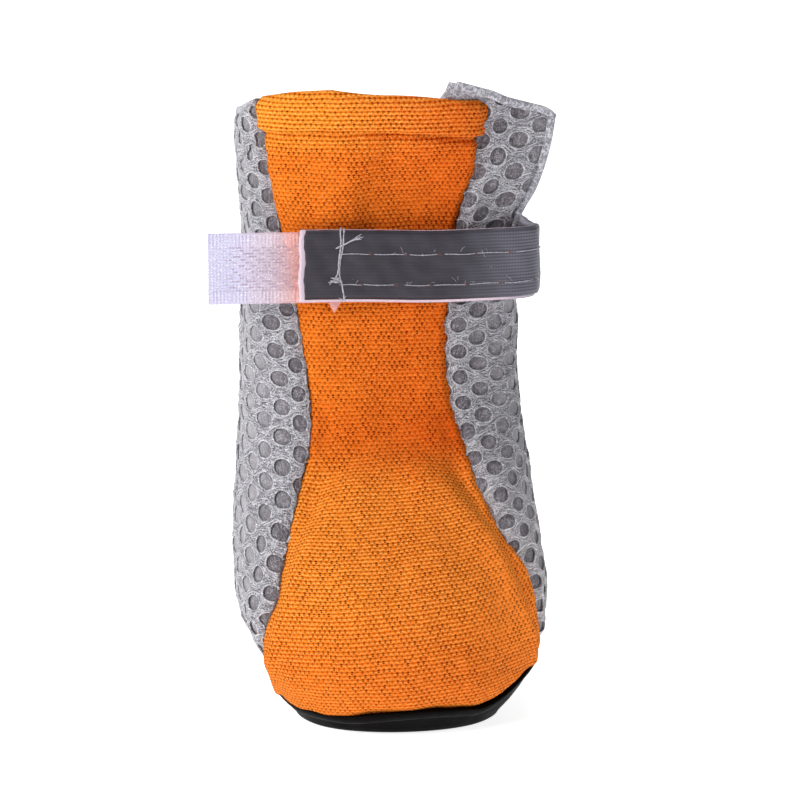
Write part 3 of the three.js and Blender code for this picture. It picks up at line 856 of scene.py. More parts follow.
def front_relief(arc, height, top):
    """How far the knitted front stands out from the last, with its hem, folds and creases."""
    inset = np.minimum(arc - left_seam(height), right_seam(height) - arc)
    relief = -1.15 * (1 - ramp(inset, -0.5, 1.2)) - 0.25 * (1 - ramp(inset, 1.0, 4.0))
    above = height - smooth(HEM_GROOVE, 1, arc)
    relief += 0.5 * ramp(above, 0.0, 0.9) * (1 - ramp(above, 2.8, 6.5) * 0.4)
    relief -= (0.65 + 0.35 * ramp(arc, -6, 2)) * hump(above, -0.15, 0.42)
    relief += 0.35 * hump(above, 0.75, 0.6)
    relief -= 1.3 * (1 - ramp(top - height, -0.2, 1.5)) ** 1.6
    fold = arc - smooth(FOLD, 1, height)
    live = ramp(height, 67, 71) * (1 - ramp(height, 79, 82))
    relief += 0.8 * live * np.where(fold < 0, hump(fold, 0, 4.5), hump(fold, 0, 2.4))
    relief -= 1.8 * hump(arc, 4.0, 7.5) * hump(height, 71.5, 6.0)
    relief -= 0.35 * hump(height, 64, 4.5)
    relief -= 0.3 * hump(height - 0.25 * arc, 54.5, 1.8) * ramp(arc, -10, 4)
    relief += 0.2 * hump(height - 0.25 * arc, 56.5, 1.6)
    crease = height - (37.9 - 0.052 * arc * arc)
    relief -= 0.7 * hump(crease, 1.2, 2.2)
    relief += 0.55 * hump(crease, -3.0, 3.2)
    valley = ramp(height, 24, 31) * (1 - ramp(height, 39, 47))
    relief -= 0.55 * valley * hump(inset, 2.4, 1.9)
    waves = 0.16 * np.sin(0.55 * arc + 0.21 * height + 1.0) * np.sin(0.33 * height - 0.11 * arc)
    waves += 0.07 * np.sin(1.1 * arc - 0.5 * height) * np.sin(0.8 * height + 0.3 * arc + 0.7)
    relief += waves * (1 - 0.8 * ramp(height, 80, 85))
    return relief


def front_length(height):
    """Length of cloth up the front line, so that rows of the knit keep their height."""
    rises = np.arange(0, 92.01, 0.25)
    line = boot_point(np.zeros_like(rises), rises)
    run = np.concatenate([[0], np.cumsum(np.linalg.norm(np.diff(line, axis=0), axis=1))])
    return np.interp(height, rises, run)


def make_front():
    panel, across, up = flat_cloth("front_panel", 110, 230)

    def round_at(height):
        low, high = left_seam(height), right_seam(height)
        return low - TUCK + across * (high - low + 2 * TUCK)

    foot = np.full_like(up, 4.0)
    top = np.full_like(up, 87.0)
    for _ in range(4):
        foot = foot_at(round_at(foot))
        top = collar_at(round_at(top))
    foot = foot - TUCK
    height = foot + up * (top - foot)
    arc = round_at(height)
    relief = front_relief(arc, height, top)
    relief -= (0.9 - 0.95 * ramp(-arc, 2, 16)) * (1 - ramp(height - foot, 0, 1.8))
    slant = 0.09 * (1 - ramp(height, 26, 44))
    lay_cloth(panel, lifted(arc, height, relief), KNIT_THICK,
              Cloth=(arc, front_length(height) - slant * arc))
    finish_piece(panel, KNIT, "upper_knit", "upper")


# ---------------------------------------------------------------- spacer mesh
# Height and distance from the front line of a column of cells on each side.
LEFT_TRACK = np.array([
    (0, -27.5), (8, -25.0), (15, -22.8), (22, -19.9), (28.25, -17.6), (32, -16.6), (35.5, -16.1),
    (39.25, -15.8), (47.25, -15.8), (51.25, -16.3), (55.75, -17.1), (62, -18.3), (70, -20.0),
    (78, -21.9), (90, -24.2),
])
RIGHT_TRACK = np.array([
    (0, 26.5), (10, 23.5), (18, 21.0), (25, 18.4), (31.5, 15.9), (38.25, 14.2), (45.5, 13.2),
    (55, 12.8), (62, 13.6), (68, 15.2), (72.25, 16.8), (76.25, 18.0), (80.75, 18.6), (84.75, 18.8),
    (92, 19.2),
])
# The right side's rows, counted in even cells, and their heights.
RIGHT_ROWS = np.array([
    (-1, 0.0), (0, 3.4), (1, 7.2), (2, 10.9), (3, 14.5), (4, 18.0), (5, 21.5), (6, 25.0),
    (7, 28.25), (8, 31.5), (9, 35.0), (10, 38.25), (11, 42.0),
    (12, 45.5), (13, 49.1), (14, 52.75), (15, 56.65),
    (16, 60.55), (17, 64.45), (18, 68.35), (19, 72.25), (20, 76.25), (21, 80.75), (22, 84.75),
    (23, 88.9), (24, 93.0),
])
LEFT_ROW_START = 55.2 - 14 * CELL_HIGH
SQUEEZE_FROM = 1.45               # cells beside the knit are narrower, from here on


class Side:
    """One mesh side: how its flat pattern goes on the boot, and where it ends."""

    def __init__(self, name):
        self.name = name
        self.left = name == "left"

    def spread(self, across, up):
        """Pattern to distance round and height."""
        if self.left:
            height = LEFT_ROW_START + up
            near = np.maximum(across - SQUEEZE_FROM, 0)
            return smooth(LEFT_TRACK, 1, height) + across - 0.29 * near, height
        height = smooth(RIGHT_ROWS, 1, up / CELL_HIGH)
        near = np.maximum(-across - SQUEEZE_FROM, 0)
        return smooth(RIGHT_TRACK, 1, height) + 0.1 + across + 0.2 * near, height

    def front(self, height):
        scallop = 0.14 * np.cos(2 * math.pi * height / (CELL_HIGH / 2))
        return left_seam(height) + scallop if self.left else right_seam(height) - scallop

    def back(self, height):
        return left_back(height) if self.left else right_back(height)

    def top(self, arc):
        return collar_at(arc) if self.left else flap_top_at(arc)

    def limits(self, height):
        ends = self.front(height), self.back(height)
        return np.minimum(*ends), np.maximum(*ends)

    def inside(self, arc, height, slack=0.0):
        low, high = self.limits(height)
        return ((arc > low - slack) & (arc < high + slack)
                & (height > foot_at(arc) - slack) & (height < self.top(arc) + slack))

    def clamp(self, arc, height):
        for _ in range(2):
            height = np.clip(height, foot_at(arc), self.top(arc))
            low, high = self.limits(height)
            arc = np.clip(arc, low, high)
        return arc, height

    def margin(self, arc, height):
        """Distance in from the nearest edge of the panel."""
        low, high = self.limits(height)
        return np.minimum.reduce([arc - low, high - arc, height - foot_at(arc),
                                  self.top(arc) - height])


def side_relief(side, arc, height):
    """Puffs and creases of the mesh, which sinks at its edges."""
    margin = side.margin(arc, height)
    relief = -0.25 - 0.75 * (1 - ramp(margin, 0.0, 1.7))
    relief += 0.22 * np.sin(0.42 * arc + 0.13 * height) * np.sin(0.31 * height + 0.4)
    relief += 0.12 * np.sin(1.0 * arc - 0.7 * height + 2.0)
    if side.left:
        crease = height - (82.0 + (arc + 18.2) * 0.5)
        relief -= 0.6 * hump(crease, 0, 0.6) * ramp(-arc, 17.5, 19) * (1 - ramp(-arc, 26, 30))
        relief += 0.3 * hump(height, 48, 14)
        relief -= 0.35 * hump(height, 64, 4.5)
        relief -= 0.65 * (1 - ramp(height, 8, 17)) * ramp(-arc, 20, 26)
    else:
        relief -= 0.5 * hump(height, 64, 4.5) * ramp(arc, 18, 22)
    return relief


def hexagon_edge(count):
    """Points round one cell's border, starting at its +X corner."""
    wide, high = CELL_WIDE / 3, CELL_HIGH / 2
    hexagon = np.array([(2 * wide, 0), (wide, high), (-wide, high),
                        (-2 * wide, 0), (-wide, -high), (wide, -high)])
    parts = count // 6
    return np.concatenate([start + (end - start) * (np.arange(parts) / parts)[:, None]
                           for start, end in zip(hexagon, np.roll(hexagon, -1, axis=0))])


def make_cell():
    """One open cell: a raised lip round an oval hole, out to a six-sided border."""
    sides = 18
    bpy.ops.object.select_all(action="DESELECT")
    bpy.ops.mesh.primitive_circle_add(vertices=sides, radius=1.0, fill_type="NOTHING",
                                      rotation=(0, 0, math.pi / sides))
    bpy.ops.object.transform_apply(rotation=True)
    cell = named("mesh_cell")
    for _ in range(3):
        pick_none(cell)
        reach = np.hypot(*corners(cell)[:, :2].T)
        outer = reach > reach.max() - 1e-4
        cell.data.vertices.foreach_set("select", outer)
        for line in cell.data.edges:
            line.select = bool(outer[list(line.vertices)].all())
        edit(cell)
        bpy.ops.mesh.extrude_edges_move()
        bpy.ops.transform.resize(value=(1.3, 1.3, 1.3))
        done()
    points = corners(cell)
    reach = np.hypot(points[:, 0], points[:, 1])
    turn = np.arctan2(points[:, 1], points[:, 0])
    order = np.round(reach, 3)
    rings = sorted(set(order))
    border = hexagon_edge(sides)
    shape = points.copy()
    cos, sin = np.cos(turn), np.sin(turn)
    ovals = [(HOLE_HALF_WIDE, HOLE_HALF_HIGH, -0.12),
             (HOLE_HALF_WIDE + 0.07, HOLE_HALF_HIGH + 0.07, 0.03),
             (HOLE_HALF_WIDE + 0.24, HOLE_HALF_HIGH + 0.22, 0.0)]
    for ring, value in enumerate(rings):
        here = order == value
        if ring < 3:
            wide, high, lift = ovals[ring]
            shape[here, 0] = wide * cos[here]
            shape[here, 1] = high * sin[here]
            shape[here, 2] = lift
        else:
            index = np.round(turn[here] / (2 * math.pi) * sides).astype(int) % sides
            shape[here, :2] = border[index]
            shape[here, 2] = -0.02
    move_corners(cell, shape)
    face_outwards(cell)
    if cell.data.polygons[0].normal.z < 0:
        on_all(cell, "FACE", bpy.ops.mesh.flip_normals)
    paint_uv(cell, "Cell", shape[:, :2])
    return cell


PATTERN = {"left": (-20, 12, 24), "right": (-4, 10, 25)}    # first column, pairs of columns, rows


def staggered(unit):
    """A unit and a copy of it in the next column, half a cell higher."""
    only(unit)
    bpy.ops.object.duplicate()
    pair = bpy.context.object
    bpy.ops.transform.translate(value=(CELL_WIDE, CELL_HIGH / 2, 0))
    only(unit, pair)
    bpy.ops.object.join()
    return unit


def repeated(unit, name, side):
    """Repeats two columns' unit over a side's whole pattern."""
    first, pairs, rows = PATTERN[side.name]
    only(unit)
    whole = named(name)
    bpy.ops.transform.translate(value=(first * CELL_WIDE, 0, 0))
    bpy.ops.object.transform_apply(location=True)
    for count, offset in ((pairs, (2 * CELL_WIDE, 0, 0)), (rows, (0, CELL_HIGH, 0))):
        modify(whole, "ARRAY", count=count, use_relative_offset=False, use_constant_offset=True,
               constant_offset_displace=offset)
    return whole


def drop_outside(obj, side, slack, partly=False):
    """Deletes the faces that are beyond the panel, and those partly beyond it where asked."""
    points = corners(obj)
    arc, height = side.spread(points[:, 0], points[:, 1])
    kept = side.inside(arc, height, slack)
    pick_none(obj, "FACE")
    obj.data.vertices.foreach_set("select", np.zeros(len(points), bool))
    counted = np.all if partly else np.any
    chosen = np.array([not counted(kept[list(face.vertices)]) for face in obj.data.polygons])
    obj.data.polygons.foreach_set("select", chosen)
    edit(obj, "FACE")
    bpy.ops.mesh.delete(type="FACE")
    done()


def make_mesh_face(side):
    cloth = repeated(staggered(make_cell()), "mesh_" + side.name, side)
    on_all(cloth, "VERT", bpy.ops.mesh.remove_doubles, threshold=0.02)
    drop_outside(cloth, side, 0.0)
    points = corners(cloth)
    arc, height = side.clamp(*side.spread(points[:, 0], points[:, 1]))
    relief = side_relief(side, arc, height) + points[:, 2]
    lay_cloth(cloth, lifted(arc, height, relief), MESH_THICK, Cloth=points[:, :2].T)
    finish_piece(cloth, MESH_FACE, "spacer_mesh", "upper")


YARNS = 3                         # yarns on each side of the middle between two cells
YARN_THICK = 0.1
YARN_STEPS = 4                    # parts of a yarn from one column to the next


def make_yarn_unit():
    """The yarns of one cell and half of each neighbour, as thin flat bars in waves."""
    ring = HOLE_HALF_HIGH + 0.05
    spare = CELL_HIGH / 2 - ring
    units = []
    for family in (-1, 1):
        for index in range(YARNS):
            share = (index + 0.5) / YARNS
            bpy.ops.object.select_all(action="DESELECT")
            bpy.ops.mesh.primitive_cylinder_add(
                vertices=4, radius=YARN_THICK / 2, depth=2 * CELL_WIDE, end_fill_type="NOTHING",
                rotation=(0, math.pi / 2, 0))
            bpy.ops.object.transform_apply(rotation=True)
            yarn = bpy.context.object
            for cut in range(1, 2 * YARN_STEPS):
                x = -CELL_WIDE + cut * CELL_WIDE / YARN_STEPS
                on_all(yarn, "EDGE", bpy.ops.mesh.bisect, plane_co=(x, 0, 0), plane_no=(1, 0, 0))
            points = corners(yarn)
            near = np.abs(points[:, 0]) / CELL_WIDE
            at_column = CELL_HIGH / 2 - share * spare
            at_next = at_column - ring
            rise = at_column + (at_next - at_column) * ramp(near, 0.05, 0.95)
            points[:, 1] += family * rise
            points[:, 2] += 0.03 * math.sin(index * 2.1 + family)
            move_corners(yarn, points)
            units.append(yarn)
    only(*units)
    bpy.ops.object.join()
    unit = named("mesh_yarn")
    drop_maps(unit)
    return unit


def make_yarns(side):
    whole = repeated(make_yarn_unit(), "yarn_" + side.name, side)
    on_all(whole, "VERT", bpy.ops.mesh.remove_doubles, threshold=0.005)
    drop_outside(whole, side, -0.12, partly=True)
    points = corners(whole)
    across, up, lift = points.T
    shake = 0.1 * np.sin(across * 2.3 + up * 5.1)
    shake += 0.09 * np.sin(across * 4.9 - up * 7.3)
    shake += 0.08 * np.sin(across * 1.3 + up * 11.7)
    arc, height = side.clamp(*side.spread(across, up + shake))
    paint_uv(whole, "Cloth", points[:, :2])
    relief = side_relief(side, arc, height) + lift + 0.03 * np.sin(across * 3.7 + up * 2.9)
    move_corners(whole, lifted(arc, height, relief) * MM)
    finish_piece(whole, MESH_YARN, "spacer_mesh")


def make_mesh_back(side):
    cloth, across, up = flat_cloth("mesh_back_" + side.name, 90, 130)
    if side.left:
        across = 1 - across

    def round_at(height):
        return side.front(height) + across * (side.back(height) - side.front(height))

    foot = np.full_like(up, 5.0)
    top = np.full_like(up, 86.0)
    for _ in range(5):
        foot = foot_at(round_at(foot))
        top = side.top(round_at(top))
    height = foot + up * (top - foot)
    arc = round_at(height)
    margin = side.margin(arc, height)
    inwards = np.abs(arc - side.front(height))
    relief = side_relief(side, arc, height) - 0.38 + 0.1 * (1 - ramp(margin, 0.0, 0.8))
    relief += 0.2 * ramp(inwards, 4, 10) * (1 - ramp(inwards, 15, 21)) * ramp(margin, 0.5, 2.0)
    lay_cloth(cloth, lifted(arc, height, relief), 1.5, Cloth=(arc, height), Edge=(inwards, height))
    finish_piece(cloth, MESH_BACK, "spacer_mesh", "upper")


# ---------------------------------------------------------------- strap
ROUTE = np.array([
    (-12.9, -8.3), (-7, -8.2), (0, -7.9), (8, -7.7), (14, -7.3), (17.6, -6.8), (19.9, -5.4),
    (20.8, -2.8), (20.95, 1.3), (20.8, 6.0), (20.6, 11.0), (18.8, 16.0), (15.5, 19.2),
    (11, 21.2), (5, 22.2), (-2, 22.4), (-8, 21.9), (-12.3, 20.9),
])


def route_line():
    """The tape's middle seen from above, at close steps, with the distance along it."""
    spans = len(ROUTE) - 1
    found = []
    for span in range(spans):
        before = ROUTE[max(span - 1, 0)]
        start, end = ROUTE[span], ROUTE[span + 1]
        after = ROUTE[min(span + 2, spans)]
        v0 = (end - before) / 2
        v1 = (after - start) / 2
        for t in np.arange(0, 1, 0.02):
            found.append((2 * start - 2 * end + v0 + v1) * t ** 3
                         + (-3 * start + 3 * end - 2 * v0 - v1) * t ** 2 + v0 * t + start)
    found.append(ROUTE[-1])
    line = np.array(found)
    run = np.concatenate([[0], np.cumsum(np.linalg.norm(np.diff(line, axis=0), axis=1))])
    return line, run


LINE, RUN = route_line()
TAPE_LENGTH = float(RUN[-1])


def on_route(distance, outward, height):
    """A point beside the tape's middle: along it, out from it, and up."""
    def at(value):
        return np.stack([np.interp(value, RUN, LINE[:, 0]), np.interp(value, RUN, LINE[:, 1])], -1)
    reach = np.clip(distance, 0, TAPE_LENGTH)
    tangent = at(np.minimum(reach + 0.4, TAPE_LENGTH)) - at(np.maximum(reach - 0.4, 0))
    tangent /= np.linalg.norm(tangent, axis=-1, keepdims=True)
    side = np.stack([tangent[:, 1], -tangent[:, 0]], -1)
    flat = at(reach) + side * np.asarray(outward)[:, None] + tangent * (distance - reach)[:, None]
    return np.concatenate([flat, np.broadcast_to(height, distance.shape)[:, None]], -1)


def tape_sag(run):
    """How far the strap drifts up or down on its way round."""
    behind = ramp(run, 33, 44) * (1 - ramp(run, 75, 95))
    return -0.4 * hump(run, 19, 9) - 0.25 * hump(run, 34, 9) - 1.1 * behind


def make_tape(name, start, end, foot, width, distance, thickness, relief):
    """A tape on the strap's route, from one share of its length to another."""
    tape, along, up = flat_cloth(name, 260, 24)
    start, end = start * TAPE_LENGTH, end * TAPE_LENGTH
    run = start + along * (end - start)
    up = up * width
    jag = 0.09 * np.sin(up * 1.3 + 0.6) + 0.05 * np.sin(up * 4.1) + 0.02 * up
    run = run + jag * np.clip(1 - (run - start), 0, 1)
    points = on_route(run, distance + relief(run, up), foot + up + tape_sag(run))
    lay_cloth(tape, points, thickness, Cloth=(run, up))
    return tape


WHITE_WIDTH = STRAP_WIDTH + 0.2


def woven_relief(run, up):
    rib = 0.04 * np.sin(up * 2 * math.pi / 0.9)
    return rib - 0.2 * (1 - ramp(np.minimum(up, WHITE_WIDTH - up), 0, 0.5))


def silver_relief(run, up):
    wave = 0.09 * np.sin(run * 0.55) * np.sin(up * 0.5 + 0.4) + 0.05 * np.sin(run * 1.7 + up)
    return wave - 0.22 * (1 - ramp(np.minimum(up, SILVER_WIDTH - up), 0, 0.5))


def make_strap():
    white = make_tape("strap_tape", 0, 1, STRAP_FOOT - 0.4, WHITE_WIDTH, 0.5, 0.9, woven_relief)
    finish_piece(white, TAPE, "strap_tape", "strap_base")
    silver = make_tape("strap_silver", 0.008, 0.86, SILVER_FOOT, SILVER_WIDTH, 1.05, 0.5,
                       silver_relief)
    finish_piece(silver, SILVER, "reflective_tape", "strap_reflective")


HOOK_TIP = -25.4
HOOK_ROOT = -7.5
HOOK_FACE = -6.75
HOOK_DROP = 0.6


def make_hook_tape():
    tape, along, up = flat_cloth("strap_hook_tape", 150, 40)
    x = HOOK_TIP + along * (HOOK_ROOT - HOOK_TIP)
    up = up * STRAP_WIDTH
    edge = np.minimum(up, STRAP_WIDTH - up)
    selvage = 1 - ramp(edge, 1.7, 2.0)
    y = HOOK_FACE - 0.55 - 0.18 * selvage - 0.04 * selvage * np.sin(x * 2 * math.pi / 0.52)
    y += 0.2 * (1 - ramp(edge, 0, 0.3))
    z = STRAP_FOOT - HOOK_DROP - 0.1 + up
    lay_cloth(tape, np.stack([x, y, z], -1), 0.4, Cloth=(x + 30, up))
    finish_piece(tape, HOOK, "hook_tape", "strap_hook_end")


def run_threads(name, lines, finish, slot):
    """Thin round threads, as one piece. Each line is its points and its radius."""
    bpy.ops.object.select_all(action="DESELECT")
    curve = bpy.data.curves.new(name, "CURVE")
    curve.dimensions = "3D"
    curve.bevel_depth = MM
    curve.bevel_resolution = 1
    curve.use_fill_caps = True
    for points, radius in lines:
        points = np.asarray(points, float)
        radii = np.broadcast_to(radius, len(points))
        spline = curve.splines.new("POLY")
        spline.points.add(len(points) - 1)
        for point, place, size in zip(spline.points, points * MM, radii):
            point.co = (*place, 1.0)
            point.radius = float(size)
    obj = bpy.data.objects.new(name, curve)
    bpy.context.scene.collection.objects.link(obj)
    only(obj)
    bpy.ops.object.convert(target="MESH")
    finish_piece(named(name), finish, slot)


def stitch_line(start, height, length, outward, radius):
    """One stitch on the tape: it dips into the cloth at both ends."""
    share = np.linspace(0, 1, 9)
    dip = 0.22 * (1 - ramp(np.minimum(share, 1 - share), 0, 0.16))
    run = start + share * length
    tilt = 0.1 * (draw.random() - 0.5) * (share - 0.5)
    height = height + 0.05 * np.sin(share * 5 + start) + tilt
    points = on_route(run, outward - dip, height + tape_sag(run))
    return points, radius * (0.75 + 0.25 * np.sin(share * math.pi))


def wander(points, reach, parts=7):
    """A curve near a line of points, with small seeded bends."""
    points = np.asarray(points, float)
    share = np.linspace(0, len(points) - 1, parts)
    line = np.stack([np.interp(share, range(len(points)), column) for column in points.T], -1)
    line[1:-1] += [[draw.uniform(-reach, reach) for _ in range(3)] for _ in range(parts - 2)]
    return line


def make_stitching():
    lines = []
    face = 1.15
    for height, start in STITCH_ROWS:
        count = int((0.84 * TAPE_LENGTH - start) / STITCH_PITCH)
        for index in range(count):
            begin = start + index * STITCH_PITCH
            lead = max(5.5 - begin, 0)
            lines.append(stitch_line(begin + lead, height, STITCH_LENGTH - lead, face, 0.065))
    front = -9.18
    bar = [(-6.55, front, 69.2), (-6.75, front - 0.12, 66.4), (-7.2, front - 0.12, 64.6),
           (-7.25, front - 0.12, 62.6), (-6.85, front - 0.1, 60.9), (-6.65, front, 59.2)]
    lines.append((wander(bar, 0.06, 16), 0.11))
    other = [(-7.05, front, 69.3), (-7.1, front - 0.16, 66.6), (-7.3, front - 0.2, 64.6),
             (-7.45, front - 0.2, 63.2), (-7.75, front - 0.14, 62.3)]
    lines.append((wander(other, 0.07, 13), 0.11))
    for _ in range(5):
        end = (-4.35 + draw.uniform(-0.4, 0.4), front - 0.35, 68.05 + draw.uniform(-0.45, 0.4))
        tail = [(-7.75, front - 0.12, 66.4), (-6.6, front - 0.3, 66.95), (-5.5, front - 0.35, 67.55), end]
        lines.append((wander(tail, 0.05, 8), np.linspace(0.1, 0.05, 8)))
    for _ in range(9):
        turn = draw.uniform(0, 2 * math.pi)
        knot = (-8.1 + 0.5 * math.cos(turn), front - 0.2, 61.9 + 0.25 * math.sin(turn))
        away = (-8.0 + 1.1 * math.cos(turn + 1), front - 0.25, 61.9 + 0.45 * math.sin(turn + 1))
        loop = [(-9.1, front - 0.05, 61.7), knot, away, (-7.4, front - 0.2, 62.1)]
        lines.append((wander(loop, 0.16, 10), 0.055))
    for x, z in ((-7.3, 58.8), (-6.2, 58.9), (-7.4, 59.5), (-6.4, 59.7)):
        end = [(-6.75, front - 0.1, 59.2), (x, front - 0.15, z)]
        lines.append((wander(end, 0.06, 5), 0.05))
    for _ in range(26):
        run = draw.uniform(6, 0.5 * TAPE_LENGTH)
        row = draw.choice(STITCH_ROWS)[0]
        start = on_route(np.array([run]), np.array([face]), row + draw.uniform(-0.15, 0.15))[0]
        far = run + draw.uniform(-0.9, 0.9)
        out = face + draw.uniform(0.05, 0.3)
        end = on_route(np.array([far]), np.array([out]), row + draw.uniform(-0.9, 0.9))[0]
        lines.append((wander([start, (start + end) / 2 + [0, -0.08, 0.1], end], 0.08, 6), 0.02))
    lines += sewn_end()
    run_threads("strap_stitches", lines, THREAD, "sewing_thread")


def sewn_end():
    """A stitched box and cross that hold the strap's other end to the boot."""
    first, last = TAPE_LENGTH - 8.2, TAPE_LENGTH - 1.4
    low, high = STRAP_FOOT + 1.2, STRAP_FOOT + 8.4
    a, b, c, d = np.array([(first, low), (last, low), (last, high), (first, high)])
    lines = []
    for start, end in ((a, b), (b, c), (c, d), (d, a), (a, c), (d, b)):
        count = max(2, int(np.linalg.norm(end - start) / 1.7))
        for index in range(count):
            share = (index + np.linspace(0.08, 0.92, 6)) / count
            places = start + (end - start) * share[:, None]
            dip = 0.16 * (1 - np.sin(np.linspace(0, math.pi, 6)) ** 0.5)
            lines.append((on_route(places[:, 0], 0.6 - dip, places[:, 1]), 0.1))
    return lines


def make_nib():
    """The corner of the hook tape's inner end, which shows below the strap."""
    bpy.ops.object.select_all(action="DESELECT")
    bpy.ops.mesh.primitive_circle_add(vertices=3, radius=1.1, fill_type="NGON",
                                      rotation=(math.pi / 2, 0, 0))
    bpy.ops.object.transform_apply(rotation=True)
    nib = named("strap_hook_corner")
    on_all(nib, "FACE", bpy.ops.mesh.subdivide, number_cuts=5)
    points = corners(nib)
    points[:, 2] *= -1
    points += (-7.8, -7.2, 58.1)
    paint_uv(nib, "Cloth", points[:, [0, 2]] + (26, -56))
    move_corners(nib, points * MM)
    face_outwards(nib)
    modify(nib, "SOLIDIFY", thickness=0.3 * MM, offset=0)
    finish_piece(nib, HOOK, "hook_tape")


def rolled_edge(arc, height, relief, radius):
    """A rim along an edge, a little below it."""
    return lifted(arc, height - 0.45, np.full(len(arc), relief)), radius


def make_rims():
    """Rolled edges of the two mesh sides along the collar, the flap and the back opening."""
    left, right = SIDES
    rise = np.linspace(50, 81.8, 40)
    crown = np.linspace(float(left_back(np.array(82.0))), float(left.front(np.array(87.5))), 70)
    lines = [rolled_edge(np.concatenate([left_back(rise), crown]),
                         np.concatenate([rise, left.top(crown)]), -1.1, 0.62)]
    rise = np.linspace(50, 83.6, 60)
    crown = np.linspace(FLAP_EDGE - 0.65, 9.4, 50)
    lines.append(rolled_edge(np.concatenate([right_back(rise) - 0.6, crown]),
                             np.concatenate([rise, right.top(crown)]), -0.75, 0.66))
    run_threads("mesh_rims", lines, MESH_RIM, "spacer_mesh")


def make_flap_hem():
    """The folded top of the flap, which runs on behind the knitted front."""
    cloth, across, up = flat_cloth("mesh_flap_hem", 36, 40)
    start, end, foot = 8.7, 15.2, 82.7
    arc = start + across * (end - start)
    top = flap_top_at(arc) - 0.3
    height = foot + up * (top - foot)
    arc = arc - 0.5 * np.minimum(top - height, 3.0) * (1 - across)
    relief = -1.75 + 0.12 * np.sin(1.7 * arc) * np.sin(1.3 * height)
    relief -= 0.6 * (1 - ramp(height, 85, 87.5))
    lay_cloth(cloth, lifted(arc, height, relief), 1.0, offset=0, Cloth=(arc, height))
    finish_piece(cloth, MESH_RIM, "spacer_mesh")


def make_front_lining():
    """A grey felt sheet inside the knitted front, behind all its dips."""
    cloth, across, up = flat_cloth("front_lining", 60, 120)
    height = 8.0 + up * 78.2
    low, high = left_seam(height) - 2 * TUCK, right_seam(height) + 2 * TUCK
    arc = low + across * (high - low)
    top = collar_at(arc)
    height = np.minimum(height, top - 0.9)
    relief = front_relief(arc, height, top + 3.0)
    inset = np.minimum(arc - low, high - arc)
    relief = np.minimum(relief, 0.0) - 2.5 - 0.3 * (1 - ramp(inset, 0, 1.5))
    relief -= 0.9 * ramp(arc, 5.5, 8.0) * ramp(height, 80.5, 82.3)
    lay_cloth(cloth, lifted(arc, height, relief), 0.4, Cloth=(arc, height))
    finish_piece(cloth, LINING, "insole_felt", "upper")


# ---------------------------------------------------------------- sole
SOLE_SIDES = 96
SOLE_PLATE = 0.8
SOLE_FLOOR = 1.8
LUG_FLATS = 4.2
LUG_PITCH = 5.5
LUG_MARGIN = 4.4
LUG_DEPTH = 1.4
INSOLE_BASE = SOLE_FLOOR + 0.3
INSOLE_THICK = 2.0
SOLE_ANGLES = -180 + 360 * np.arange(SOLE_SIDES) / SOLE_SIDES


def spring(y):
    """Rise of the sole towards the toe."""
    return 1.6 * (np.maximum(0, -14 - y) / 12) ** 2


def toe_roll(y):
    """Rise of the sole's foot towards the toe and, a little, the heel."""
    return 0.75 * (np.maximum(0, -14 - y) / 12) ** 2 + 0.3 * (np.maximum(0, y - 16) / 8) ** 2


def arch(y):
    t = np.minimum(1, np.abs(y - 9) / 7)
    return 0.6 * (1 - t * t) ** 2


def plate(y):
    """Underside of the sole between its lugs."""
    return SOLE_PLATE + spring(y) + arch(y)


def dish_floor(y):
    return SOLE_FLOOR + spring(y)


def insole_foot(y):
    return INSOLE_BASE + spring(y)


def insole_top(y):
    return INSOLE_BASE + INSOLE_THICK + spring(y) + 0.12 * np.sin(y * 0.6)


def outline(height, inset):
    """Points round the last at a height, or a height for each, moved inwards."""
    x, y = last_xy(SOLE_ANGLES, height)
    run = np.stack([np.roll(x, -1) - np.roll(x, 1), np.roll(y, -1) - np.roll(y, 1)], -1)
    run /= np.linalg.norm(run, axis=-1, keepdims=True)
    return x - run[:, 1] * inset, y + run[:, 0] * inset


def ring_at(flat, height, rise=None):
    """A ring from its outline and its height, with a further rise that depends on y."""
    x, y = flat
    z = np.broadcast_to(height, (SOLE_SIDES,))
    return np.stack([x, y, z if rise is None else z + rise(y)], -1)


def drawn_in(ring, height_at, *shares):
    """Smaller copies of a ring, one for each share of its size."""
    return [np.stack([ring[:, 0] * share, ring[:, 1] * share, height_at(ring[:, 1] * share)], -1)
            for share in shares]


def corners_near(piece, ring):
    """Which corners are within a small ring."""
    centre = ring.mean(axis=0)
    reach = np.linalg.norm(ring - centre, axis=1).max() * 1.05 + 0.01
    return np.linalg.norm(corners(piece) / MM - centre, axis=1) < reach


def rings_piece(name, rings):
    """Extrudes a circle ring by ring, shapes each ring, and closes both ends at a point."""
    bpy.ops.object.select_all(action="DESELECT")
    bpy.ops.mesh.primitive_circle_add(vertices=SOLE_SIDES, radius=1.0, fill_type="NOTHING")
    piece = named(name)
    edit(piece)
    bpy.ops.mesh.select_all(action="SELECT")
    for _ in rings[1:]:
        bpy.ops.mesh.extrude_edges_move(TRANSFORM_OT_translate={"value": (0, 0, 1)})
    done()
    points = corners(piece)
    level = np.round(points[:, 2]).astype(int)
    turn = np.arctan2(points[:, 1], points[:, 0])
    index = np.round(turn / (2 * math.pi) * SOLE_SIDES).astype(int) % SOLE_SIDES
    move_corners(piece, np.stack(rings)[level, index] * MM)
    for ring in (rings[0], rings[-1]):
        pick_none(piece, "VERT")
        piece.data.vertices.foreach_set("select", corners_near(piece, ring))
        edit(piece, "VERT")
        bpy.ops.mesh.merge(type="CENTER")
        done()
    face_outwards(piece)
    return piece


